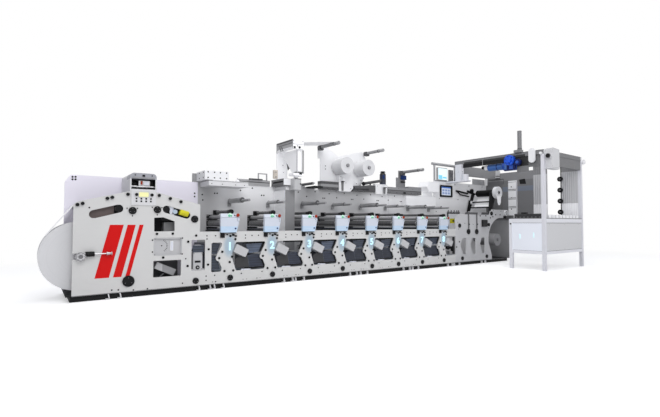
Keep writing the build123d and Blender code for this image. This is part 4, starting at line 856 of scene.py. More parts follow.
class PRESS_OT_unit_numbers(bpy.types.Operator):
    """Lit number on every column"""
    bl_idname = "press.unit_numbers"
    bl_label = "Unit numbers"

    def execute(self, context):
        height = context.scene.press_sizes.numeral_height
        whole = bmesh.new()
        for index, x in enumerate(UNITS):
            curve = bpy.data.curves.new(f"number_{index + 1}_shape", "FONT")
            curve.body = str(index + 1)
            curve.size = height / 0.7
            curve.align_x = "CENTER"
            curve.offset = 0.006
            curve.extrude = 0.004
            holder = add_object(f"number_{index + 1}_shape", curve)
            context.view_layer.update()
            mesh = bpy.data.meshes.new_from_object(holder.evaluated_get(context.evaluated_depsgraph_get()))
            place = Matrix.Translation((x - 0.01, FRONT - 0.004, NUMBER_Z - height / 2))
            mesh.transform(place @ Matrix.Rotation(math.pi / 2, 4, "X"))
            whole.from_mesh(mesh)
            bpy.data.objects.remove(holder)
            bpy.data.curves.remove(curve)
            bpy.data.meshes.remove(mesh)
        mesh = bpy.data.meshes.new("unit_numbers")
        whole.to_mesh(mesh)
        whole.free()
        mesh.materials.clear()
        mesh.materials.append(finish("glow"))
        numbers = add_object("unit_numbers", mesh)
        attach(numbers, "root")
        return {"FINISHED"}


class PRESS_OT_consoles(bpy.types.Operator):
    """Buttons, knobs and trim of the eight consoles"""
    bl_idname = "press.consoles"
    bl_label = "Console controls"

    def execute(self, context):
        trim = Piece("console_controls")
        for x in UNITS:
            trim.rod(x - 0.03, -0.4455, 1.292, 0.044, 0.01, "green_pale", "Y", 24)
            for dx, size in ((-0.045, 0.02), (-0.008, 0.014)):
                trim.rod(x + dx, -0.452, 1.288, size, 0.012, "green", "Y", 16)
                trim.ring(x + dx, -0.45, 1.288, size + 0.002, 0.003, "steel", "Y", 16)
            trim.rod(x + 0.112, -0.452, 1.3, 0.014, 0.03, "knob_yellow", "Y", 14)
            trim.rod(x + 0.112, -0.474, 1.3, 0.034, 0.018, "knob_red", "Y", 20, 0.024)
            trim.rod(x + 0.06, -0.447, 1.298, 0.012, 0.014, "plastic", "Y", 12)
            trim.box(x - 0.198, x + 0.149, -0.4562, -0.454, 1.2585, 1.2615, "plastic")
            trim.stud(x + 0.072, 1.06, 0.016, 0.006, "blue", CONSOLE_FRONT, 14)
            trim.ring(x + 0.072, -0.456, 1.06, 0.02, 0.003, "console", "Y", 16)
            trim.stud(x + 0.108, 1.232, 0.007, 0.004, "blue", CONSOLE_FRONT, 10)
            trim.stud(x + 0.122, 1.205, 0.017, 0.016, "knob_clear", CONSOLE_FRONT, 16)
            trim.box(x - 0.15, x + 0.05, -0.4566, -0.4545, 1.05, 1.0535, "panel")
            screws = ((x - 0.182, 1.245), (x - 0.182, 1.01), (x + 0.074, 1.01))
            trim.studs(screws, 0.005, 0.003, "steel", CONSOLE_FRONT, 8)
            for dx, z, size in ((0.052, 0.945, 0.022), (0.1, 0.925, 0.018), (-0.06, 0.952, 0.012)):
                trim.box(x + dx - size, x + dx + size, -0.418, -0.4, z - size * 0.8, z + size * 0.8, "plastic")
            trim.rod(x + 0.005, -0.412, 1.362, 0.044, 0.024, "plastic", "Y", 24)
        trim.done()
        return {"FINISHED"}


class PRESS_OT_unit_bearings(bpy.types.Operator):
    """Studs, a thin bright rod as painted highlight, and end rings beside the plate cylinders"""
    bl_idname = "press.unit_bearings"
    bl_label = "Unit bearings"

    def execute(self, context):
        parts = Piece("unit_bearing_trim")
        for x in UNITS:
            # painted highlight: a thin bright steel rod where light catches a roller
            parts.rod(x - 0.176, -0.0125, 1.095, 0.007, 0.775, "steel", "Y", 10)
            for z in (1.04, 1.09, 1.205, 1.24, 1.3):
                parts.stud(x - 0.16, z, 0.007, 0.006, "steel", 0.325, 8)
                parts.rods(
                    "steel", "X", 8, (x - 0.175, 0.35, z, 0.008, 0.006), (x - 0.175, -0.375, z, 0.008, 0.006))
            parts.box(x - 0.186, x - 0.172, -0.39, 0.372, 1.008, 1.03, "plastic")
            for y in (-0.322, 0.298):
                parts.ring(x - 0.1, y, 1.15, 0.066, 0.005, "steel", "Y", 20)
            parts.box(x - 0.045, x + 0.055, 0.3, 0.374, 1.322, 1.405, "plastic")
            for y in (-0.25, 0.05, 0.24):
                parts.ring(x + 0.005, y, 1.365, 0.0305, 0.003, "roller", "Y", 16)
        parts.done()
        return {"FINISHED"}


class PRESS_OT_web_guide(bpy.types.Operator):
    """Lamp, knobs and the sensor carriage of the web guide"""
    bl_idname = "press.web_guide"
    bl_label = "Web guide"

    def execute(self, context):
        parts = Piece("web_guide_trim")
        front = GUIDE_FRONT
        parts.box(-4.502, -4.362, front - 0.006, front, 1.572, 1.645, "yellow")
        parts.box(-4.512, -4.352, front - 0.003, front, 1.562, 1.655, "steel")
        for x in (-4.539, -4.313):
            parts.stud(x, 1.606, 0.024, 0.022, "plastic", front, 16)
        for row in range(2):
            for column in range(4):
                x = -4.538 + column * 0.0705
                z = 1.543 - row * 0.042
                parts.box(x - 0.013, x + 0.013, front - 0.003, front, z - 0.013, z + 0.013, "plastic")
        parts.box(-4.6, -4.27, -0.405, -0.395, 1.865, 1.885, "mid")
        parts.box(-4.455, -4.415, -0.408, -0.4, 1.895, 1.925, "plastic")
        parts.rods("plastic", "Y", 10, (-4.56, -0.404, 1.915, 0.01, 0.008), (-4.31, -0.404, 1.915, 0.01, 0.008))
        for y in (-0.33, -0.13):
            parts.rod(-4.435, y, 1.74, 0.014, 0.354, "steel", "X", 12)
        parts.box(-4.5, -4.33, -0.345, -0.115, 1.755, 1.835, "steel")
        parts.box(-4.47, -4.44, -0.352, -0.34, 1.77, 1.83, "knob_red")
        parts.box(-4.42, -4.35, -0.356, -0.344, 1.765, 1.825, "panel")
        parts.boxes("plastic", (-4.595, -4.52, -0.3, -0.1, 1.7, 1.8), (-4.325, -4.275, -0.3, -0.1, 1.7, 1.85))
        for x in (-4.49, -4.435, -4.38):
            parts.rod(x, -0.23, 1.715, 0.01, 0.06, "idler", "Z", 10)
        parts.done()
        return {"FINISHED"}


class PRESS_OT_window_trim(bpy.types.Operator):
    """Handle, scale and fittings in the windows of the unwind plate"""
    bl_idname = "press.window_trim"
    bl_label = "Window trim"

    def execute(self, context):
        parts = Piece("window_trim")
        parts.box(-4.01, -3.963, -0.392, -0.367, 0.703, 0.86, "white")
        parts.box(-4.004, -3.969, -0.3935, -0.392, 0.712, 0.851, "panel")
        for step in range(9):
            turn = math.radians(60 - step * 14)
            x = -4.16 + math.cos(turn) * 0.105
            z = 0.785 + math.sin(turn) * 0.105
            parts.box(
                x - 0.004, x + 0.004, -0.3685, -0.3665, z - 0.012, z + 0.012, "plastic", math.pi / 2 - turn)
        parts.stud(-4.14, 0.788, 0.01, 0.005, "plastic", -0.367, 12)
        for x in (-4.25, -3.845):
            for z in (0.645, 0.9):
                parts.stud(x, z, 0.006, 0.003, "plastic", -0.395, 8)
        parts.box(-3.64, -3.455, -0.38, -0.375, 0.655, 0.775, "tray")
        parts.box(-3.6, -3.5, -0.3785, -0.372, 0.48, 0.515, "plastic")
        parts.stud(-3.552, 0.4, 0.034, 0.012, "plastic", -0.375, 20)
        parts.stud(-3.552, 0.4, 0.012, 0.006, "steel", -0.387, 12)
        for x in (-3.615, -3.48):
            for z in (0.372, 0.64):
                parts.stud(x, z, 0.006, 0.003, "plastic", -0.375, 8)
        parts.done()
        return {"FINISHED"}


class PRESS_OT_base_trim(bpy.types.Operator):
    """Light line along the deck and the pale levelling brackets on the plinth"""
    bl_idname = "press.base_trim"
    bl_label = "Base trim"

    def execute(self, context):
        parts = Piece("base_trim")
        parts.box(-5.375, 6.06, -0.4035, -0.4, 0.09, 0.098, "mid")
        for x in (
                -4.9, -4.74, -3.524, -3.33, -3.256, -3.09, -1.86, -1.665, -1.599, -1.4, -0.203, -0.01, 0.099,
                0.3, 1.47, 1.69, 1.788, 2.0, 3.165, 3.35, 3.43, 3.66, 4.7, 4.88):
            parts.box(x, x + 0.012, -0.4015, -0.34, 0.012, 0.088, "white", math.radians(-14))
            parts.box(x - 0.035, x + 0.012, -0.401, -0.345, 0.01, 0.017, "white")
        parts.done()
        return {"FINISHED"}


class PRESS_OT_wall_screws(bpy.types.Operator):
    """Small screws on the back walls"""
    bl_idname = "press.wall_screws"
    bl_label = "Wall screws"

    def execute(self, context):
        screws = Piece("wall_screws")
        places = [
            (-3.381, 1.722), (-3.38, 1.66), (-3.234, 1.702), (-3.222, 1.6), (-2.99, 1.739), (-2.94, 1.741),
            (-2.452, 1.821), (-2.191, 1.881), (-1.98, 1.739), (-1.927, 1.741), (-5.346, 1.901),
            (-5.304, 1.904), (-5.345, 1.861), (-5.304, 1.863)]
        for x in UNITS[2:]:
            places += [(x + 0.02, 1.74), (x + 0.07, 1.74), (x + 0.42, 1.762), (x + 0.2, 1.85), (x - 0.2, 1.88)]
        for x in (3.62, 4.5, 5.2, 5.9):
            places += [(x, 1.5), (x, 2.33), (x + 0.14, 1.88)]
        screws.studs(places, 0.015, 0.006, "plastic", WALL, 10)
        for x in (-1.7, 0.0, 1.7):
            screws.box(x - 0.0015, x + 0.0015, WALL - 0.0015, WALL, 1.01, 1.934, "mid")
        screws.done()
        return {"FINISHED"}


class PRESS_OT_lever_trim(bpy.types.Operator):
    """Grip bands, knurls and end cap of the unwind lever and its chuck"""
    bl_idname = "press.lever_trim"
    bl_label = "Lever trim"

    def execute(self, context):
        parts = Piece("lever_trim")
        parts.rod(-5.16, LEVER_Y, LEVER_Z, 0.0365, 0.122, "plastic", "X", 24)
        for step in range(5):
            parts.ring(-5.205 + step * 0.0225, LEVER_Y, LEVER_Z, 0.0375, 0.0022, "plastic", "X", 24)
        parts.rod(-4.873, LEVER_Y, LEVER_Z, 0.031, 0.01, "steel", "X", 20)
        for step in range(6):
            turn = math.radians(60 * step)
            x = UNWIND_X + math.cos(turn) * 0.048
            z = UNWIND_Z + math.sin(turn) * 0.048
            parts.stud(x, z, 0.006, 0.004, "idler", -0.47, 8)
        parts.stud(UNWIND_X, UNWIND_Z, 0.03, 0.01, "idler", -0.47, 20)
        parts.ring(UNWIND_X, -0.471, UNWIND_Z, 0.058, 0.003, "idler", "Y", 28)
        parts.done()
        return {"FINISHED"}


class PRESS_OT_screens(bpy.types.Operator):
    """Picture of the touch panel and the lit inspection screen"""
    bl_idname = "press.screens"
    bl_label = "Screens"

    def execute(self, context):
        face = WALL - 0.031
        left = 3.838
        parts = Piece("screens")
        parts.box(left, 4.251, face - 0.001, face, 1.988, 2.232, "screen_pale")
        parts.box(left, 4.251, face - 0.0018, face - 0.001, 2.195, 2.232, "screen_blue")
        for column in range(3):
            for row in range(2):
                x = left + 0.03 + column * 0.125
                z = 2.018 + row * 0.085
                parts.box(x, x + 0.095, face - 0.0018, face - 0.001, z, z + 0.06, "screen_mid")
        z0 = 2.42
        parts.box(3.68, 4.07, 0.333, 0.335, z0 + 0.02, z0 + 0.35, "screen_glow")
        parts.boxes(
            "screen_cyan", (3.7, 3.86, 0.3315, 0.333, z0 + 0.03, z0 + 0.15),
            (3.88, 4.05, 0.3315, 0.333, z0 + 0.06, z0 + 0.11))
        parts.box(4.225, 4.385, 0.352, 0.355, z0 + 0.05, z0 + 0.3, "steel")
        parts.done(soft=False)
        return {"FINISHED"}


class PRESS_OT_tray_rims(bpy.types.Operator):
    """Black rims, and flat facets in lighter and darker tones as painted light and shade, on the fronts of the
    ink trays
    """
    bl_idname = "press.tray_rims"
    bl_label = "Tray rims"

    def execute(self, context):
        rims = Piece("tray_rims")
        front = TRAY_FRONT
        for index, x in enumerate(UNITS[1:], 1):
            far = "_far" if index > 3 else ""
            # painted light and shade: flat facets in lighter and darker tones
            if index != RISER_UNIT:
                rims.outline([(x - 0.533, 0.768), (x - 0.209, 0.777), (x - 0.278, 0.633), (x - 0.467, 0.605)],
                             front - 0.004, front, "facet" + far)
                ends = (x - 0.47, front - 0.004, 0.604), (x - 0.28, front - 0.004, 0.628)
                rims.bar(*ends, 0.01, 0.008, "facet")
            rims.outline(
                [(x - 0.533, 0.56), (x - 0.287, 0.585), (x - 0.164, 0.343), (x - 0.5, 0.343)], front - 0.004,
                front, "facet_low" + far)
            rims.bars(
                "plastic", ((x - 0.6, front - 0.008, 0.8), (x - 0.13, front - 0.008, 0.8), 0.032, 0.014),
                ((x - 0.165, front - 0.008, 0.806), (x - 0.232, front - 0.008, 0.63), 0.038, 0.014),
                ((x - 0.24, front - 0.008, 0.56), (x - 0.145, front - 0.008, 0.335), 0.038, 0.014),
                ((x - 0.56, front - 0.008, 0.332), (x - 0.13, front - 0.008, 0.334), 0.03, 0.014))
            # painted shade: a dark panel beside each tray
            side = "facet_low_far" if far else "shade"
            rims.outline(
                [(x - 0.745, 0.5), (x - 0.61, 0.58), (x - 0.5, 0.56), (x - 0.46, 0.345), (x - 0.72, 0.335)],
                front - 0.006, front, side)
            rims.bar((x - 0.63, front - 0.012, 0.312), (x - 0.44, front - 0.012, 0.306), 0.022, 0.012, "panel")
        rims.done()
        return {"FINISHED"}


class PRESS_OT_dark_linings(bpy.types.Operator):
    """Dark linings behind the slots and windows of the unwind plate, the darkest of them painted shade, with
    what shows before them
    """
    bl_idname = "press.dark_linings"
    bl_label = "Dark linings"

    def execute(self, context):
        parts = Piece("dark_linings")
        parts.box(-5.18, -4.7, -0.33, -0.322, 1.23, 1.44, "brown")
        # painted shade: near-black sheets behind the slots and windows
        parts.boxes(
            "soot", (-4.84, -4.7, -0.334, -0.33, 1.24, 1.44), (-4.14, -3.66, -0.33, -0.322, 1.2, 1.44),
            (-4.29, -3.81, -0.11, -0.1, 0.9, 1.26))
        parts.rods(
            "plastic", "Y", 24, (-4.775, -0.385, 1.372, 0.05, 0.03), (-4.085, -0.385, 1.388, 0.056, 0.03))
        parts.outline([(-4.04, 1.44), (-3.965, 1.44), (-3.945, 1.27), (-4.015, 1.27)], -0.372, -0.366, "panel")
        parts.tube((-3.865, -0.38, 1.345), (-3.725, -0.38, 1.307), 0.048, "knob_yellow", 20)
        parts.rod(-3.96, -0.36, 1.325, 0.02, 0.06, "grey", "Y", 16)
        parts.box(-4.29, -3.81, -0.11, -0.1, 0.1, 0.6, "duct_dark")
        parts.box(-4.08, -3.89, -0.24, -0.11, 0.985, 1.17, "mid")
        parts.box(-4.08, -3.89, -0.246, -0.24, 0.985, 1.01, "plastic")
        # painted shade: a dark bar in the window
        parts.bar((-4.27, -0.15, 0.6), (-4.27, -0.15, 0.1), 0.02, 0.08, "soot")
        parts.bar((-4.23, -0.3, 0.2), (-4.09, -0.3, 0.33), 0.01, 0.06, "grey")
        parts.done()
        return {"FINISHED"}


class PRESS_OT_roller_sleeves(bpy.types.Operator):
    """Thick sleeves on the idlers between the units, with their collars"""
    bl_idname = "press.roller_sleeves"
    bl_label = "Idler sleeves"

    def execute(self, context):
        parts = Piece("idler_sleeves")
        for index, x in enumerate(UNITS):
            reach = 0.64 if index % 2 == 0 else 0.47
            size = 0.048 if index % 2 == 0 else 0.036
            parts.tube(
                (x + 0.278, WALL - 0.075, 1.59), (x + 0.278, WALL - reach, 1.59), size, "idler_bright", 20)
            for y in (WALL - 0.075, WALL - reach):
                parts.tube((x + 0.278, y, 1.59), (x + 0.278, y - 0.012, 1.59), size + 0.003, "duct_dark", 20)
            parts.tube(
                (x + 0.278, WALL - reach - 0.012, 1.59), (x + 0.278, WALL - reach - 0.03, 1.59), 0.016,
                "steel", 12)
        parts.done()
        return {"FINISHED"}


class PRESS_OT_wall_ducts(bpy.types.Operator):
    """Ducts, pipes and bolts along the top of the wall"""
    bl_idname = "press.wall_ducts"
    bl_label = "Wall ducts"

    def execute(self, context):
        parts = Piece("wall_ducts")
        for x0, x1, z0, z1, coat in (
                (-0.538, -0.03, 1.94, 2.0, "duct_dark"), (-0.538, -0.03, 2.0, 2.064, "mid"),
                (-0.538, -0.03, 2.064, 2.128, "duct_dark"), (0.41, 1.14, 1.938, 1.975, "duct_dark"),
                (0.92, 1.145, 1.975, 2.11, "duct_dark"), (1.585, 2.86, 1.938, 2.022, "beam_grey"),
                (1.585, 2.86, 2.03, 2.105, "mid"), (1.585, 2.86, 2.018, 2.034, "plastic"),
                (2.345, 2.86, 2.1, 2.15, "mid")):
            parts.box(x0, x1, 0.262, 0.4, z0, z1, coat)
        parts.tubes(
            "duct_dark", 20, ((0.45, 0.3, 2.01), (0.925, 0.3, 2.045), 0.058),
            ((0.78, 0.3, 2.14), (1.36, 0.3, 2.245), 0.036))
        parts.ball(0.78, 0.3, 2.14, 0.05, "plastic")
        parts.tube((1.0, 0.3, 2.1), (1.0, 0.3, 2.18), 0.02, "duct_dark", 12)
        for x in (-0.5, -0.35, -0.2, 0.56, 0.76, 1.65, 1.9, 2.15, 2.45, 2.7):
            parts.rods("plastic", "Y", 8, (x, 0.259, 1.968, 0.01, 0.006), (x + 0.06, 0.259, 2.08, 0.007, 0.006))
        parts.box(2.15, 2.23, 0.25, 0.262, 1.945, 1.99, "plastic")
        for x in (-3.29, -3.17, -3.06, -2.94):
            for z in (2.09, 1.988):
                parts.rod(x, -0.103, z, 0.013, 0.006, "plastic", "Y", 10)
        for y in (-0.02, 0.2):
            for z in (2.085, 1.99):
                parts.rod(-3.351, y, z, 0.012, 0.006, "plastic", "X", 10)
        for x in (-3.22, -3.02, -2.76, -2.58):
            parts.rod(x, -0.103, 1.88, 0.008, 0.006, "plastic", "Y", 8)
        parts.box(-3.271, -2.499, -0.1035, -0.1, 1.93, 1.936, "duct_dark")
        parts.boxes(
            "plastic", (-2.485, -1.795, 0.3515, 0.355, 2.0, 2.012), (-2.06, -1.846, 0.368, 0.375, 2.05, 2.062))
        parts.tube((-2.699, -0.045, 1.99), (-2.699, -0.045, 2.02), 0.01, "steel", 12)
        parts.tube((-2.3, 0.3, 2.06), (-2.0, 0.3, 2.06), 0.016, "duct_dark", 12)
        parts.done()
        return {"FINISHED"}


class PRESS_OT_turner_trim(bpy.types.Operator):
    """Flanges, roller ends and screws of the web turner"""
    bl_idname = "press.turner_trim"
    bl_label = "Web turner trim"

    def execute(self, context):
        parts = Piece("turner_trim")
        side = TURNER_SIDE
        parts.box(side - 0.003, side + 0.001, -0.29, 0.375, 2.836, 2.868, "duct_dark")
        parts.box(side - 0.004, side + 0.001, -0.29, 0.375, 2.8, 2.832, "mid")
        parts.box(side - 0.003, side + 0.001, -0.282, 0.3, 2.782, 2.798, "grey")
        parts.box(side - 0.004, side + 0.001, -0.29, 0.375, 2.662, 2.678, "white")
        for y in (0.25, 0.17):
            parts.bar(
                (side - 0.004, y, 2.772), (side - 0.004, y - 0.075, 2.668), 0.022, 0.006, "duct_dark",
                (1.0, 0.0, 0.0))
        for x, z, radius in ((-1.577, 2.703, 0.024), (-1.46, 2.711, 0.024), (-1.505, 2.735, 0.01)):
            parts.rod(x, -0.294, z, radius, 0.01, "plastic", "Y", 16)
        parts.boxes(
            "mid", (-1.612, -1.368, -0.293, -0.289, 2.77, 2.776),
            (-1.612, -1.368, -0.293, -0.289, 2.668, 2.674))
        for x in (-1.6, -1.38):
            parts.rod(x, -0.293, 2.84, 0.008, 0.006, "duct_dark", "Y", 8)
        parts.rod(-1.431, -0.2, 2.172, 0.096, 0.04, "plastic", "Z", 28)
        parts.rod(-1.431, -0.2, 2.202, 0.09, 0.02, "grey", "Z", 28)
        parts.rod(-1.52, -0.215, 2.186, 0.05, 0.014, "plastic", "Z", 20)
        for x, radius in ((-1.362, 0.012), (-1.5, 0.009), (-1.345, 0.006)):
            parts.tube((x, -0.262, 2.18), (x, -0.262, 2.662), radius, "mid", 12)
        parts.outline([(0.166, 2.439), (0.033, 2.31), (0.107, 2.266)], -1.5035, -1.501, "duct_dark", True)
        for y, z, radius in (
                (0.319, 2.409, 0.011), (0.19, 2.092, 0.013), (0.189, 1.997, 0.013), (0.3, 2.25, 0.008)):
            parts.rod(-1.584 if z < 2.1 else -1.503, y, z, radius, 0.01, "duct_dark", "X", 10)
        parts.boxes(
            "plastic", (-1.575, -1.415, -0.2935, -0.29, 2.056, 2.068),
            (-1.752, -1.749, -0.13, 0.29, 1.992, 2.02))
        parts.rod(-1.583, -0.015, 2.01, 0.034, 0.008, "mid", "X", 20)
        parts.rod(-1.588, -0.015, 2.01, 0.024, 0.006, "white", "X", 20)
        parts.rod(-1.43, -0.293, 1.96, 0.02, 0.008, "duct_dark", "Y", 16)
        parts.box(-1.753, -1.749, -0.152, 0.375, 2.05, 2.07, "mid")
        parts.box(-1.753, -1.749, -0.152, 0.375, 1.93, 1.962, "beam_grey")
        parts.box(-1.749, -1.585, -0.1555, -0.152, 1.936, 2.066, "white")
        for z in (2.15, 2.25):
            parts.rod(-1.663, 0.333, z, 0.014, 0.006, "mid", "Y", 10)
        parts.tube((-0.97, -0.06, 2.02), (-0.97, 0.36, 2.02), 0.03, "duct_dark", 16)
        parts.box(-0.9, -0.68, -0.02, 0.33, 1.94, 1.975, "plastic")
        parts.done()
        return {"FINISHED"}


class PRESS_OT_stand_trim(bpy.types.Operator):
    """Screws, nozzles, rod ends and the motor's cap on the roll stand and the wall brackets"""
    bl_idname = "press.stand_trim"
    bl_label = "Stand trim"

    def execute(self, context):
        parts = Piece("stand_trim")
        for x, z in (
                (-0.36, 2.491), (-0.36, 2.42), (-0.448, 2.853), (0.264, 2.225), (0.721, 2.225), (0.584, 2.132),
                (0.804, 2.269), (0.88, 2.7)):
            parts.rod(x, 0.337, z, 0.012, 0.008, "duct_dark", "Y", 10)
        for x, z, end in ((-0.528, 2.903, -0.405), (0.87, 2.903, -0.315), (2.153, 2.525, -0.427)):
            parts.tube((x, end + 0.01, z), (x, end + 0.075, z), 0.041, "idler_bright", 20)
            parts.tube((x, end + 0.16, z), (x, end + 0.175, z), 0.043, "duct_dark", 20)
            parts.box(x - 0.05, x + 0.05, 0.24, 0.345, z - 0.065, z + 0.035, "duct_dark")
        for x, top, low in ((0.078, 2.15, 1.925), (1.45, 2.072, 1.915)):
            parts.rod(x, 0.232, top, 0.044, 0.016, "plastic", "Z", 20)
            parts.rod(x, 0.232, top + 0.022, 0.05, 0.03, "white", "Z", 20)
            # painted shadow: a grey tapering shape on the wall below each nozzle
            parts.outline(
                [(x - 0.04, top), (x + 0.04, top), (x + 0.03, low), (x - 0.03, low)], 0.252, 0.2555,
                "beam_grey")
        for x, z in ((0.18, 2.12), (0.33, 1.99), (0.03, 2.26), (1.2, 2.1), (1.54, 1.96), (1.54, 2.11)):
            parts.rod(x, 0.252, z, 0.009, 0.006, "duct_dark", "Y", 8)
        parts.rod(1.458, 0.33, 2.488, 0.076, 0.024, "plastic", "Z", 24, 0.05)
        for step in range(6):
            parts.rod(1.458, 0.33, 2.2 + step * 0.02, 0.083, 0.008, "duct_dark", "Z", 24)
        parts.boxes("blue", (1.39, 1.43, 0.235, 0.262, 2.3, 2.4), (2.14, 2.34, 0.33, 0.352, 2.335, 2.45))
        parts.box(2.14, 2.3, 0.335, 0.352, 2.25, 2.29, "plastic")
        for z in (2.02, 2.18, 2.38):
            parts.rod(2.29, 0.347, z, 0.01, 0.006, "plastic", "Y", 8)
        parts.done()
        return {"FINISHED"}


class PRESS_OT_booth_trim(bpy.types.Operator):
    """Panels, blower parts, bracket, window and stack marks of the booth"""
    bl_idname = "press.booth_trim"
    bl_label = "Booth trim"

    def execute(self, context):
        parts = Piece("booth_trim")
        # painted shade: a dark sheet inside the side beam's channel
        parts.box(4.172, 4.184, -1.775, -0.15, 2.755, 2.862, "beam_dark")
        parts.box(4.158, 4.166, -0.805, -0.79, 2.756, 2.93, "mid")
        parts.box(4.192, 4.206, -2.392, -2.072, 2.6, 2.862, "beam_grey")
        parts.box(4.157, 4.162, -2.392, -0.15, 2.962, 2.971, "duct_dark")
        parts.rod(4.18, -2.56, 2.8, 0.058, 0.02, "grey", "X", 24)
        parts.rod(4.168, -2.56, 2.8, 0.046, 0.01, "plastic", "X", 24)
        parts.tube((4.1, -2.41, 2.88), (4.165, -2.41, 2.88), 0.03, "white", 18)
        parts.tube((4.33, -0.895, 2.705), (4.33, -0.775, 2.705), 0.07, "white", 24)
        parts.tube((4.33, -0.775, 2.715), (4.33, -0.74, 2.715), 0.02, "plastic", 12)
        parts.ball(4.33, -0.705, 2.715, 0.046, "plastic")
        # the blower in darker and brighter copies of its blue enamel: painted shade and painted light
        parts.tube((4.33, -0.895, 2.695), (4.33, -1.35, 2.695), 0.099, "enamel_pale", 24)
        parts.tubes(
            "enamel_dark", 24, ((4.33, -1.15, 2.695), (4.33, -1.17, 2.695), 0.102),
            ((4.33, -1.33, 2.695), (4.33, -1.36, 2.695), 0.11),
            ((4.09, -1.83, 2.72), (4.158, -1.83, 2.72), 0.085))
        parts.tube((4.06, -1.62, 2.795), (4.158, -1.62, 2.795), 0.132, "enamel_lit", 28)
        parts.tube((4.03, -1.62, 2.795), (4.062, -1.62, 2.795), 0.07, "enamel_lit", 24)
        parts.tube((4.074, -1.83, 2.72), (4.092, -1.83, 2.72), 0.04, "enamel", 20)
        for y0, y1, coat in (
                (-1.53, -1.47, "enamel_pale"), (-1.59, -1.538, "enamel_dark"), (-1.7, -1.6, "enamel"),
                (-1.76, -1.708, "enamel_dark")):
            parts.box(4.11, 4.158, y0, y1, 2.56, 2.76, coat)
        parts.box(4.1, 4.158, -1.78, -1.47, 2.535, 2.562, "enamel_dark")
        for step in range(6):
            turn = math.radians(20 + 60 * step)
            parts.tube(
                (4.052, -1.62 + 0.1 * math.cos(turn), 2.795 + 0.1 * math.sin(turn)),
                (4.062, -1.62 + 0.1 * math.cos(turn), 2.795 + 0.1 * math.sin(turn)), 0.012, "enamel_dark", 10)
        parts.box(6.18, 6.25, -1.15, -0.045, 2.69, 2.752, "side_cabinet")
        parts.boxes("white", (6.16, 6.235, 0.35, 0.375, 2.3, 2.815), (6.0, 6.2, -0.09, -0.04, 2.612, 2.638))
        parts.boxes(
            "plastic", (4.44, 4.65, 0.33, 0.372, 2.415, 2.465), (6.03, 6.19, -0.07, -0.04, 2.638, 2.665),
            (6.174, 6.18, -0.21, 0.31, 2.552, 2.566))
        parts.box(6.0, 6.2, -0.09, -0.04, 2.665, 2.825, "booth_white")
        parts.outline(
            [(-0.72, 2.5), (-0.905, 2.515), (-0.94, 2.355), (-0.75, 2.365)], 6.1765, 6.18, "beam_dark", True)
        parts.box(6.174, 6.18, -0.216, -0.206, 1.25, 2.56, "duct_dark")
        for z in (2.29, 1.95, 1.6):
            parts.rod(6.1175, -0.5, z, 0.017, 0.006, "plastic", "X", 12)
        # each joint of the stack: a dark line, and a grey band below it as painted shade; the band at 2.43 m is
        # painted shade under the top
        for z in (2.212, 1.945, 1.677):
            parts.box(6.1185, 6.1205, -0.65, -0.4, z - 0.012, z + 0.004, "grey")
            parts.box(6.1185, 6.1205, -0.65, -0.4, z - 0.05, z - 0.03, "mid")
        parts.box(6.1185, 6.1205, -0.65, -0.4, 2.43, 2.442, "mid")
        for z in (1.48, 1.79, 2.1, 2.41):
            parts.tube((6.137, -1.93, z), (6.126, -1.93, z), 0.03, "duct_dark", 16)
        for y in (-0.05, -0.19):
            parts.rod(4.098, y, 2.64, 0.012, 0.006, "duct_dark", "X", 10)
        parts.box(4.24, 4.63, -2.6225, -2.62, 2.52, 2.526, "mid")
        for z in (2.56, 2.95):
            for x in (4.27, 4.6):
                parts.rod(x, -2.623, z, 0.007, 0.006, "mid", "Y", 8)
        parts.tube((4.15, -1.87, 3.05), (4.15, -1.87, 3.066), 0.058, "duct_dark", 20)
        parts.done()
        return {"FINISHED"}


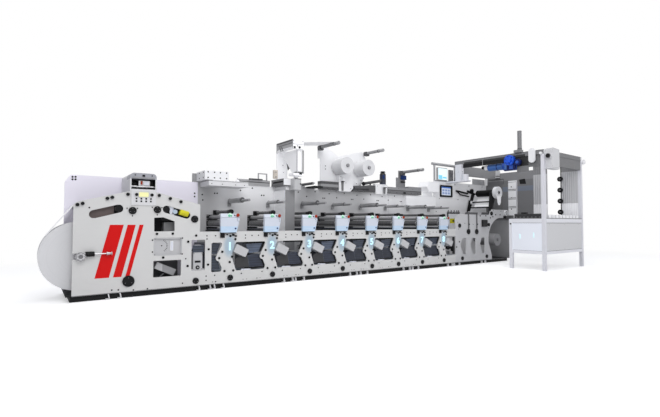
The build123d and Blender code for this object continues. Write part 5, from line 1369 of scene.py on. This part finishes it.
class PRESS_OT_rewind_trim(bpy.types.Operator):
    """Bars, waste strip, hubs and blocks about the waste arms, the die station and the end arm"""
    bl_idname = "press.rewind_trim"
    bl_label = "Rewind trim"

    def execute(self, context):
        parts = Piece("rewind_trim")
        wall = 0.352
        for start, end, width in (
                ((4.531, 2.142), (5.103, 2.08), 0.045), ((4.717, 2.034), (5.15, 1.992), 0.028),
                ((5.09, 2.16), (5.34, 2.095), 0.055), ((4.58, 2.11), (4.74, 2.04), 0.014)):
            parts.bar((start[0], wall, start[1]), (end[0], wall, end[1]), width, 0.046, "plastic")
        parts.outline(
            [(5.06, 1.53), (5.16, 1.53), (5.32, 2.06), (5.25, 2.14), (5.12, 2.06)], -0.402, -0.382, "plastic")
        parts.outline([(5.04, 1.53), (5.19, 1.53), (5.29, 1.88), (5.16, 1.88)], 0.33, 0.35, "plastic")
        parts.rod(5.235, 0.3, 1.8, 0.052, 0.04, "white", "Y", 24)
        parts.rod(5.3, 0.34, 2.175, 0.06, 0.06, "plastic", "Y", 24)
        parts.box(5.3, 5.42, 0.27, 0.35, 1.725, 1.85, "white")
        parts.outline(
            [(5.3, 1.97), (5.51, 1.97), (5.49, 1.78), (5.44, 1.705), (5.37, 1.705), (5.32, 1.78)], WASTE_FRONT,
            -0.5195, "paper")
        parts.rod(5.945, -0.42, 1.48, 0.088, 0.04, "white", "Y", 32)
        parts.rod(5.945, -0.442, 1.48, 0.06, 0.006, "mid", "Y", 28)
        parts.rod(5.945, -0.448, 1.48, 0.024, 0.01, "white", "Y", 20)
        parts.boxes("plastic", (5.82, 5.93, -0.43, -0.4, 1.3, 1.385), (3.25, 3.76, -0.33, -0.29, 1.42, 1.448))
        parts.boxes("duct_dark", (5.96, 6.06, -0.425, -0.4, 1.27, 1.34), (3.25, 3.275, -0.33, -0.29, 1.0, 1.43))
        for x in (3.289, 3.413, 3.54, 3.665, 3.74):
            parts.tube((x, -0.31, 1.44), (x, -0.31, 1.52), 0.012, "plastic", 12)
            parts.box(x - 0.028, x + 0.028, -0.335, -0.285, 1.452, 1.48, "grey")
        parts.tube((3.636, -0.14, 1.225), (3.636, 0.374, 1.225), 0.014, "steel", 12)
        parts.box(3.572, 3.7, -0.21, -0.14, 1.158, 1.292, "knob_yellow")
        parts.boxes(
            "plastic", (3.3, 3.57, -0.24, -0.2, 0.455, 0.55), (3.59, 3.682, -0.213, -0.21, 1.205, 1.245))
        parts.box(3.59, 3.67, -0.24, -0.2, 0.31, 0.78, "duct_dark")
        parts.box(3.27, 3.42, -0.24, -0.2, 0.32, 0.4, "grey")
        parts.rods("plastic", "Y", 20, (3.35, -0.25, 0.5, 0.062, 0.03), (3.51, -0.25, 0.43, 0.04, 0.03))
        for x in (4.049, 4.433):
            parts.rod(x, -0.436, 1.132, 0.02, 0.014, "plastic", "Y", 16)
            parts.rod(x, -0.436, 1.392, 0.014, 0.014, "steel", "Y", 12)
        parts.done()
        hub = Piece("waste_hub")
        arm_y = WASTE_FRONT - 0.0045
        hub.rod(WASTE_X, WASTE_FRONT, WASTE_Z, 0.056, 0.006, "mid", "Y", 24)
        hub.rod(WASTE_X, WASTE_FRONT - 0.0085, WASTE_Z, 0.02, 0.016, "plastic", "Y", 16)
        for step in range(3):
            turn = math.radians(30 + 120 * step)
            tip = (WASTE_X + 0.062 * math.cos(turn), arm_y, WASTE_Z + 0.062 * math.sin(turn))
            hub.bar((WASTE_X, arm_y, WASTE_Z), tip, 0.018, 0.006, "duct_dark")
        hub.done("waste_roll_body")
        return {"FINISHED"}


class PRESS_OT_table_trim(bpy.types.Operator):
    """Panel seams, handles and the parts that lie on the delivery table"""
    bl_idname = "press.table_trim"
    bl_label = "Table trim"

    def execute(self, context):
        parts = Piece("table_trim")
        # painted highlight: thin marks in the lit cyan finish stand for the glint on the panel handles
        for y, z in ((-1.831, 0.831), (-2.184, 0.869)):
            parts.box(4.168, 4.1755, y - 0.009, y + 0.009, z - 0.06, z + 0.06, "glow")
        parts.rod(4.157, -1.595, 1.15, 0.02, 0.008, "plastic", "X", 16)
        parts.boxes(
            "beam_grey", (4.1735, 4.1755, -2.385, -1.635, 1.168, 1.176),
            (4.1735, 4.1755, -2.385, -1.635, 0.478, 0.484), (4.245, 6.165, -2.4565, -2.4545, 1.166, 1.175),
            (4.245, 6.165, -2.4565, -2.4545, 0.478, 0.486))
        for x in (4.42, 5.2, 5.99):
            for z in (0.52, 1.13):
                parts.rod(x, -2.457, z, 0.007, 0.004, "mid", "Y", 8)
        for step in range(9):
            x = 4.39 + step * 0.185
            parts.box(x - 0.047, x + 0.047, -2.4725, -2.47, 1.3, 1.372, "white")
            parts.box(x + 0.049, x + 0.075, -2.468, -2.462, 1.296, 1.36, "duct_dark")
        parts.box(4.262, 4.348, -2.33, -1.64, 1.4, 1.404, "grey")
        for step in range(7):
            y = -2.3 + step * 0.1
            parts.box(4.256, 4.26, y - 0.02, y + 0.02, 1.31, 1.33, "beam_grey")
        parts.box(4.27, 4.34, -1.96, -1.82, 1.404, 1.44, "plastic")
        parts.tube((4.305, -1.82, 1.425), (4.305, -1.7, 1.425), 0.012, "duct_dark", 12)
        parts.done()
        return {"FINISHED"}


class PRESS_OT_stage(bpy.types.Operator):
    """Pale floor, soft studio light and the camera at the photograph's angle"""
    bl_idname = "press.stage"
    bl_label = "Stage"

    def execute(self, context):
        self.floor()
        self.world()
        self.lamps()
        self.camera(context)
        return {"FINISHED"}

    def floor(self):
        """Soft shadow near the press, plain white further off."""
        mesh = bmesh.new()
        bmesh.ops.create_grid(mesh, x_segments=1, y_segments=1, size=400.0)
        data = bpy.data.meshes.new("floor")
        mesh.to_mesh(data)
        mesh.free()
        floor = add_object("floor", data)
        s = Shader("pale_floor")
        seen = s.node("ShaderNodeLightPath", out=0)
        x, y, _ = s.axes(s.place())
        reach = (x * x * 0.35 + y * y).math("SQRT")
        far = s.ramp(reach, 5.0, 9.0)
        diffuse = s.node("ShaderNodeBsdfDiffuse", Color=(0.86, 0.86, 0.865, 1.0))
        light = s.node("ShaderNodeEmission", Color=(1.0, 1.0, 1.0, 1.0), Strength=seen * 0.42)
        near = s.node("ShaderNodeAddShader", i0=diffuse, i1=light)
        white = s.node("ShaderNodeEmission", Color=(1.0, 1.0, 1.0, 1.0), Strength=1.0)
        s.output(s.node("ShaderNodeMixShader", i0=far * seen, i1=near, i2=white))
        data.materials.append(s.material)

    def world(self):
        """White to the camera and in reflections, a dimmer room for the light."""
        world = bpy.data.worlds.new("studio")
        bpy.context.scene.world = world
        world.use_nodes = True
        tree = world.node_tree
        tree.nodes.clear()
        end = tree.nodes.new("ShaderNodeOutputWorld")
        rays = tree.nodes.new("ShaderNodeLightPath")
        shown = rays.outputs["Is Camera Ray"]
        for kind in ("Is Glossy Ray", "Is Transmission Ray"):
            either = tree.nodes.new("ShaderNodeMath")
            either.operation = "MAXIMUM"
            tree.links.new(shown, either.inputs[0])
            tree.links.new(rays.outputs[kind], either.inputs[1])
            shown = either.outputs[0]
        mixer = tree.nodes.new("ShaderNodeMixShader")
        room = tree.nodes.new("ShaderNodeBackground")
        room.inputs[0].default_value = (0.93, 0.95, 1.0, 1.0)
        room.inputs[1].default_value = 0.48
        white = tree.nodes.new("ShaderNodeBackground")
        white.inputs[0].default_value = (1.0, 1.0, 1.0, 1.0)
        white.inputs[1].default_value = 1.0
        tree.links.new(shown, mixer.inputs[0])
        tree.links.new(room.outputs[0], mixer.inputs[1])
        tree.links.new(white.outputs[0], mixer.inputs[2])
        tree.links.new(mixer.outputs[0], end.inputs[0])

    def lamps(self):
        """Three large soft lamps: place, aim, size and power of each."""
        for name, place, aim, size, power in (
                ("key", (-5.0, -8.0, 7.5), (-0.5, 0.0, 0.8), 6.0, 430.0),
                ("top", (0.5, -1.0, 8.0), (0.5, 0.0, 1.0), 9.0, 290.0),
                ("side", (9.0, -9.0, 5.0), (4.0, -1.0, 1.2), 5.0, 150.0)):
            lamp = bpy.data.lights.new(name, "AREA")
            lamp.shape = "SQUARE"
            lamp.size = size
            lamp.energy = power
            holder = add_object(name, lamp)
            way = Vector(aim) - Vector(place)
            holder.matrix_world = Matrix.Translation(place) @ way.to_track_quat("-Z", "Y").to_matrix().to_4x4()

    def camera(self, context):
        """The camera, turned by its yaw, pitch and roll."""
        data = bpy.data.cameras.new("camera")
        data.lens = CAMERA_LENS
        data.sensor_width = CAMERA_SENSOR
        data.clip_end = 2000.0
        camera = add_object("camera", data)
        yaw, pitch, roll = map(math.radians, (CAMERA_YAW, CAMERA_PITCH, CAMERA_ROLL))
        ahead = Vector((math.sin(yaw) * math.cos(pitch), math.cos(yaw) * math.cos(pitch), math.sin(pitch)))
        level = Vector((math.cos(yaw), -math.sin(yaw), 0.0))
        above = level.cross(ahead)
        right = level * math.cos(roll) + above * math.sin(roll)
        up = above * math.cos(roll) - level * math.sin(roll)
        turn = Matrix((right, up, -ahead)).transposed().to_4x4()
        camera.matrix_world = Matrix.Translation(CAMERA_PLACE) @ turn
        context.scene.camera = camera
        context.scene.view_settings.view_transform = "Standard"


OPERATORS = (
    PRESS_OT_stage,
    PRESS_OT_finishes,
    PRESS_OT_plate_bolts,
    PRESS_OT_edge_knobs,
    PRESS_OT_accent_bars,
    PRESS_OT_unit_numbers,
    PRESS_OT_consoles,
    PRESS_OT_unit_bearings,
    PRESS_OT_web_guide,
    PRESS_OT_window_trim,
    PRESS_OT_base_trim,
    PRESS_OT_wall_screws,
    PRESS_OT_lever_trim,
    PRESS_OT_screens,
    PRESS_OT_tray_rims,
    PRESS_OT_dark_linings,
    PRESS_OT_roller_sleeves,
    PRESS_OT_wall_ducts,
    PRESS_OT_turner_trim,
    PRESS_OT_stand_trim,
    PRESS_OT_booth_trim,
    PRESS_OT_rewind_trim,
    PRESS_OT_table_trim,
)


class PRESS_PT_panel(bpy.types.Panel):
    """Lists the steps that dress the press"""
    bl_idname = "PRESS_PT_panel"
    bl_label = "Printing press"
    bl_space_type = "VIEW_3D"
    bl_region_type = "UI"
    bl_category = "Press"

    def draw(self, context):
        sizes = context.scene.press_sizes
        colours = context.scene.press_colours
        for group in (sizes, colours):
            for key in group.__annotations__:
                self.layout.prop(group, key)
        for operator in OPERATORS:
            self.layout.operator(operator.bl_idname)


CLASSES = (PressSizes, PressColours) + OPERATORS + (PRESS_PT_panel,)


def register():
    for one in CLASSES:
        bpy.utils.register_class(one)
    bpy.types.Scene.press_sizes = bpy.props.PointerProperty(type=PressSizes)
    bpy.types.Scene.press_colours = bpy.props.PointerProperty(type=PressColours)


def unregister():
    del bpy.types.Scene.press_colours
    del bpy.types.Scene.press_sizes
    for one in reversed(CLASSES):
        bpy.utils.unregister_class(one)


def main():
    register()
    for operator in OPERATORS:
        group, name = operator.bl_idname.split(".")
        getattr(getattr(bpy.ops, group), name)()


if __name__ == "__main__":
    main()
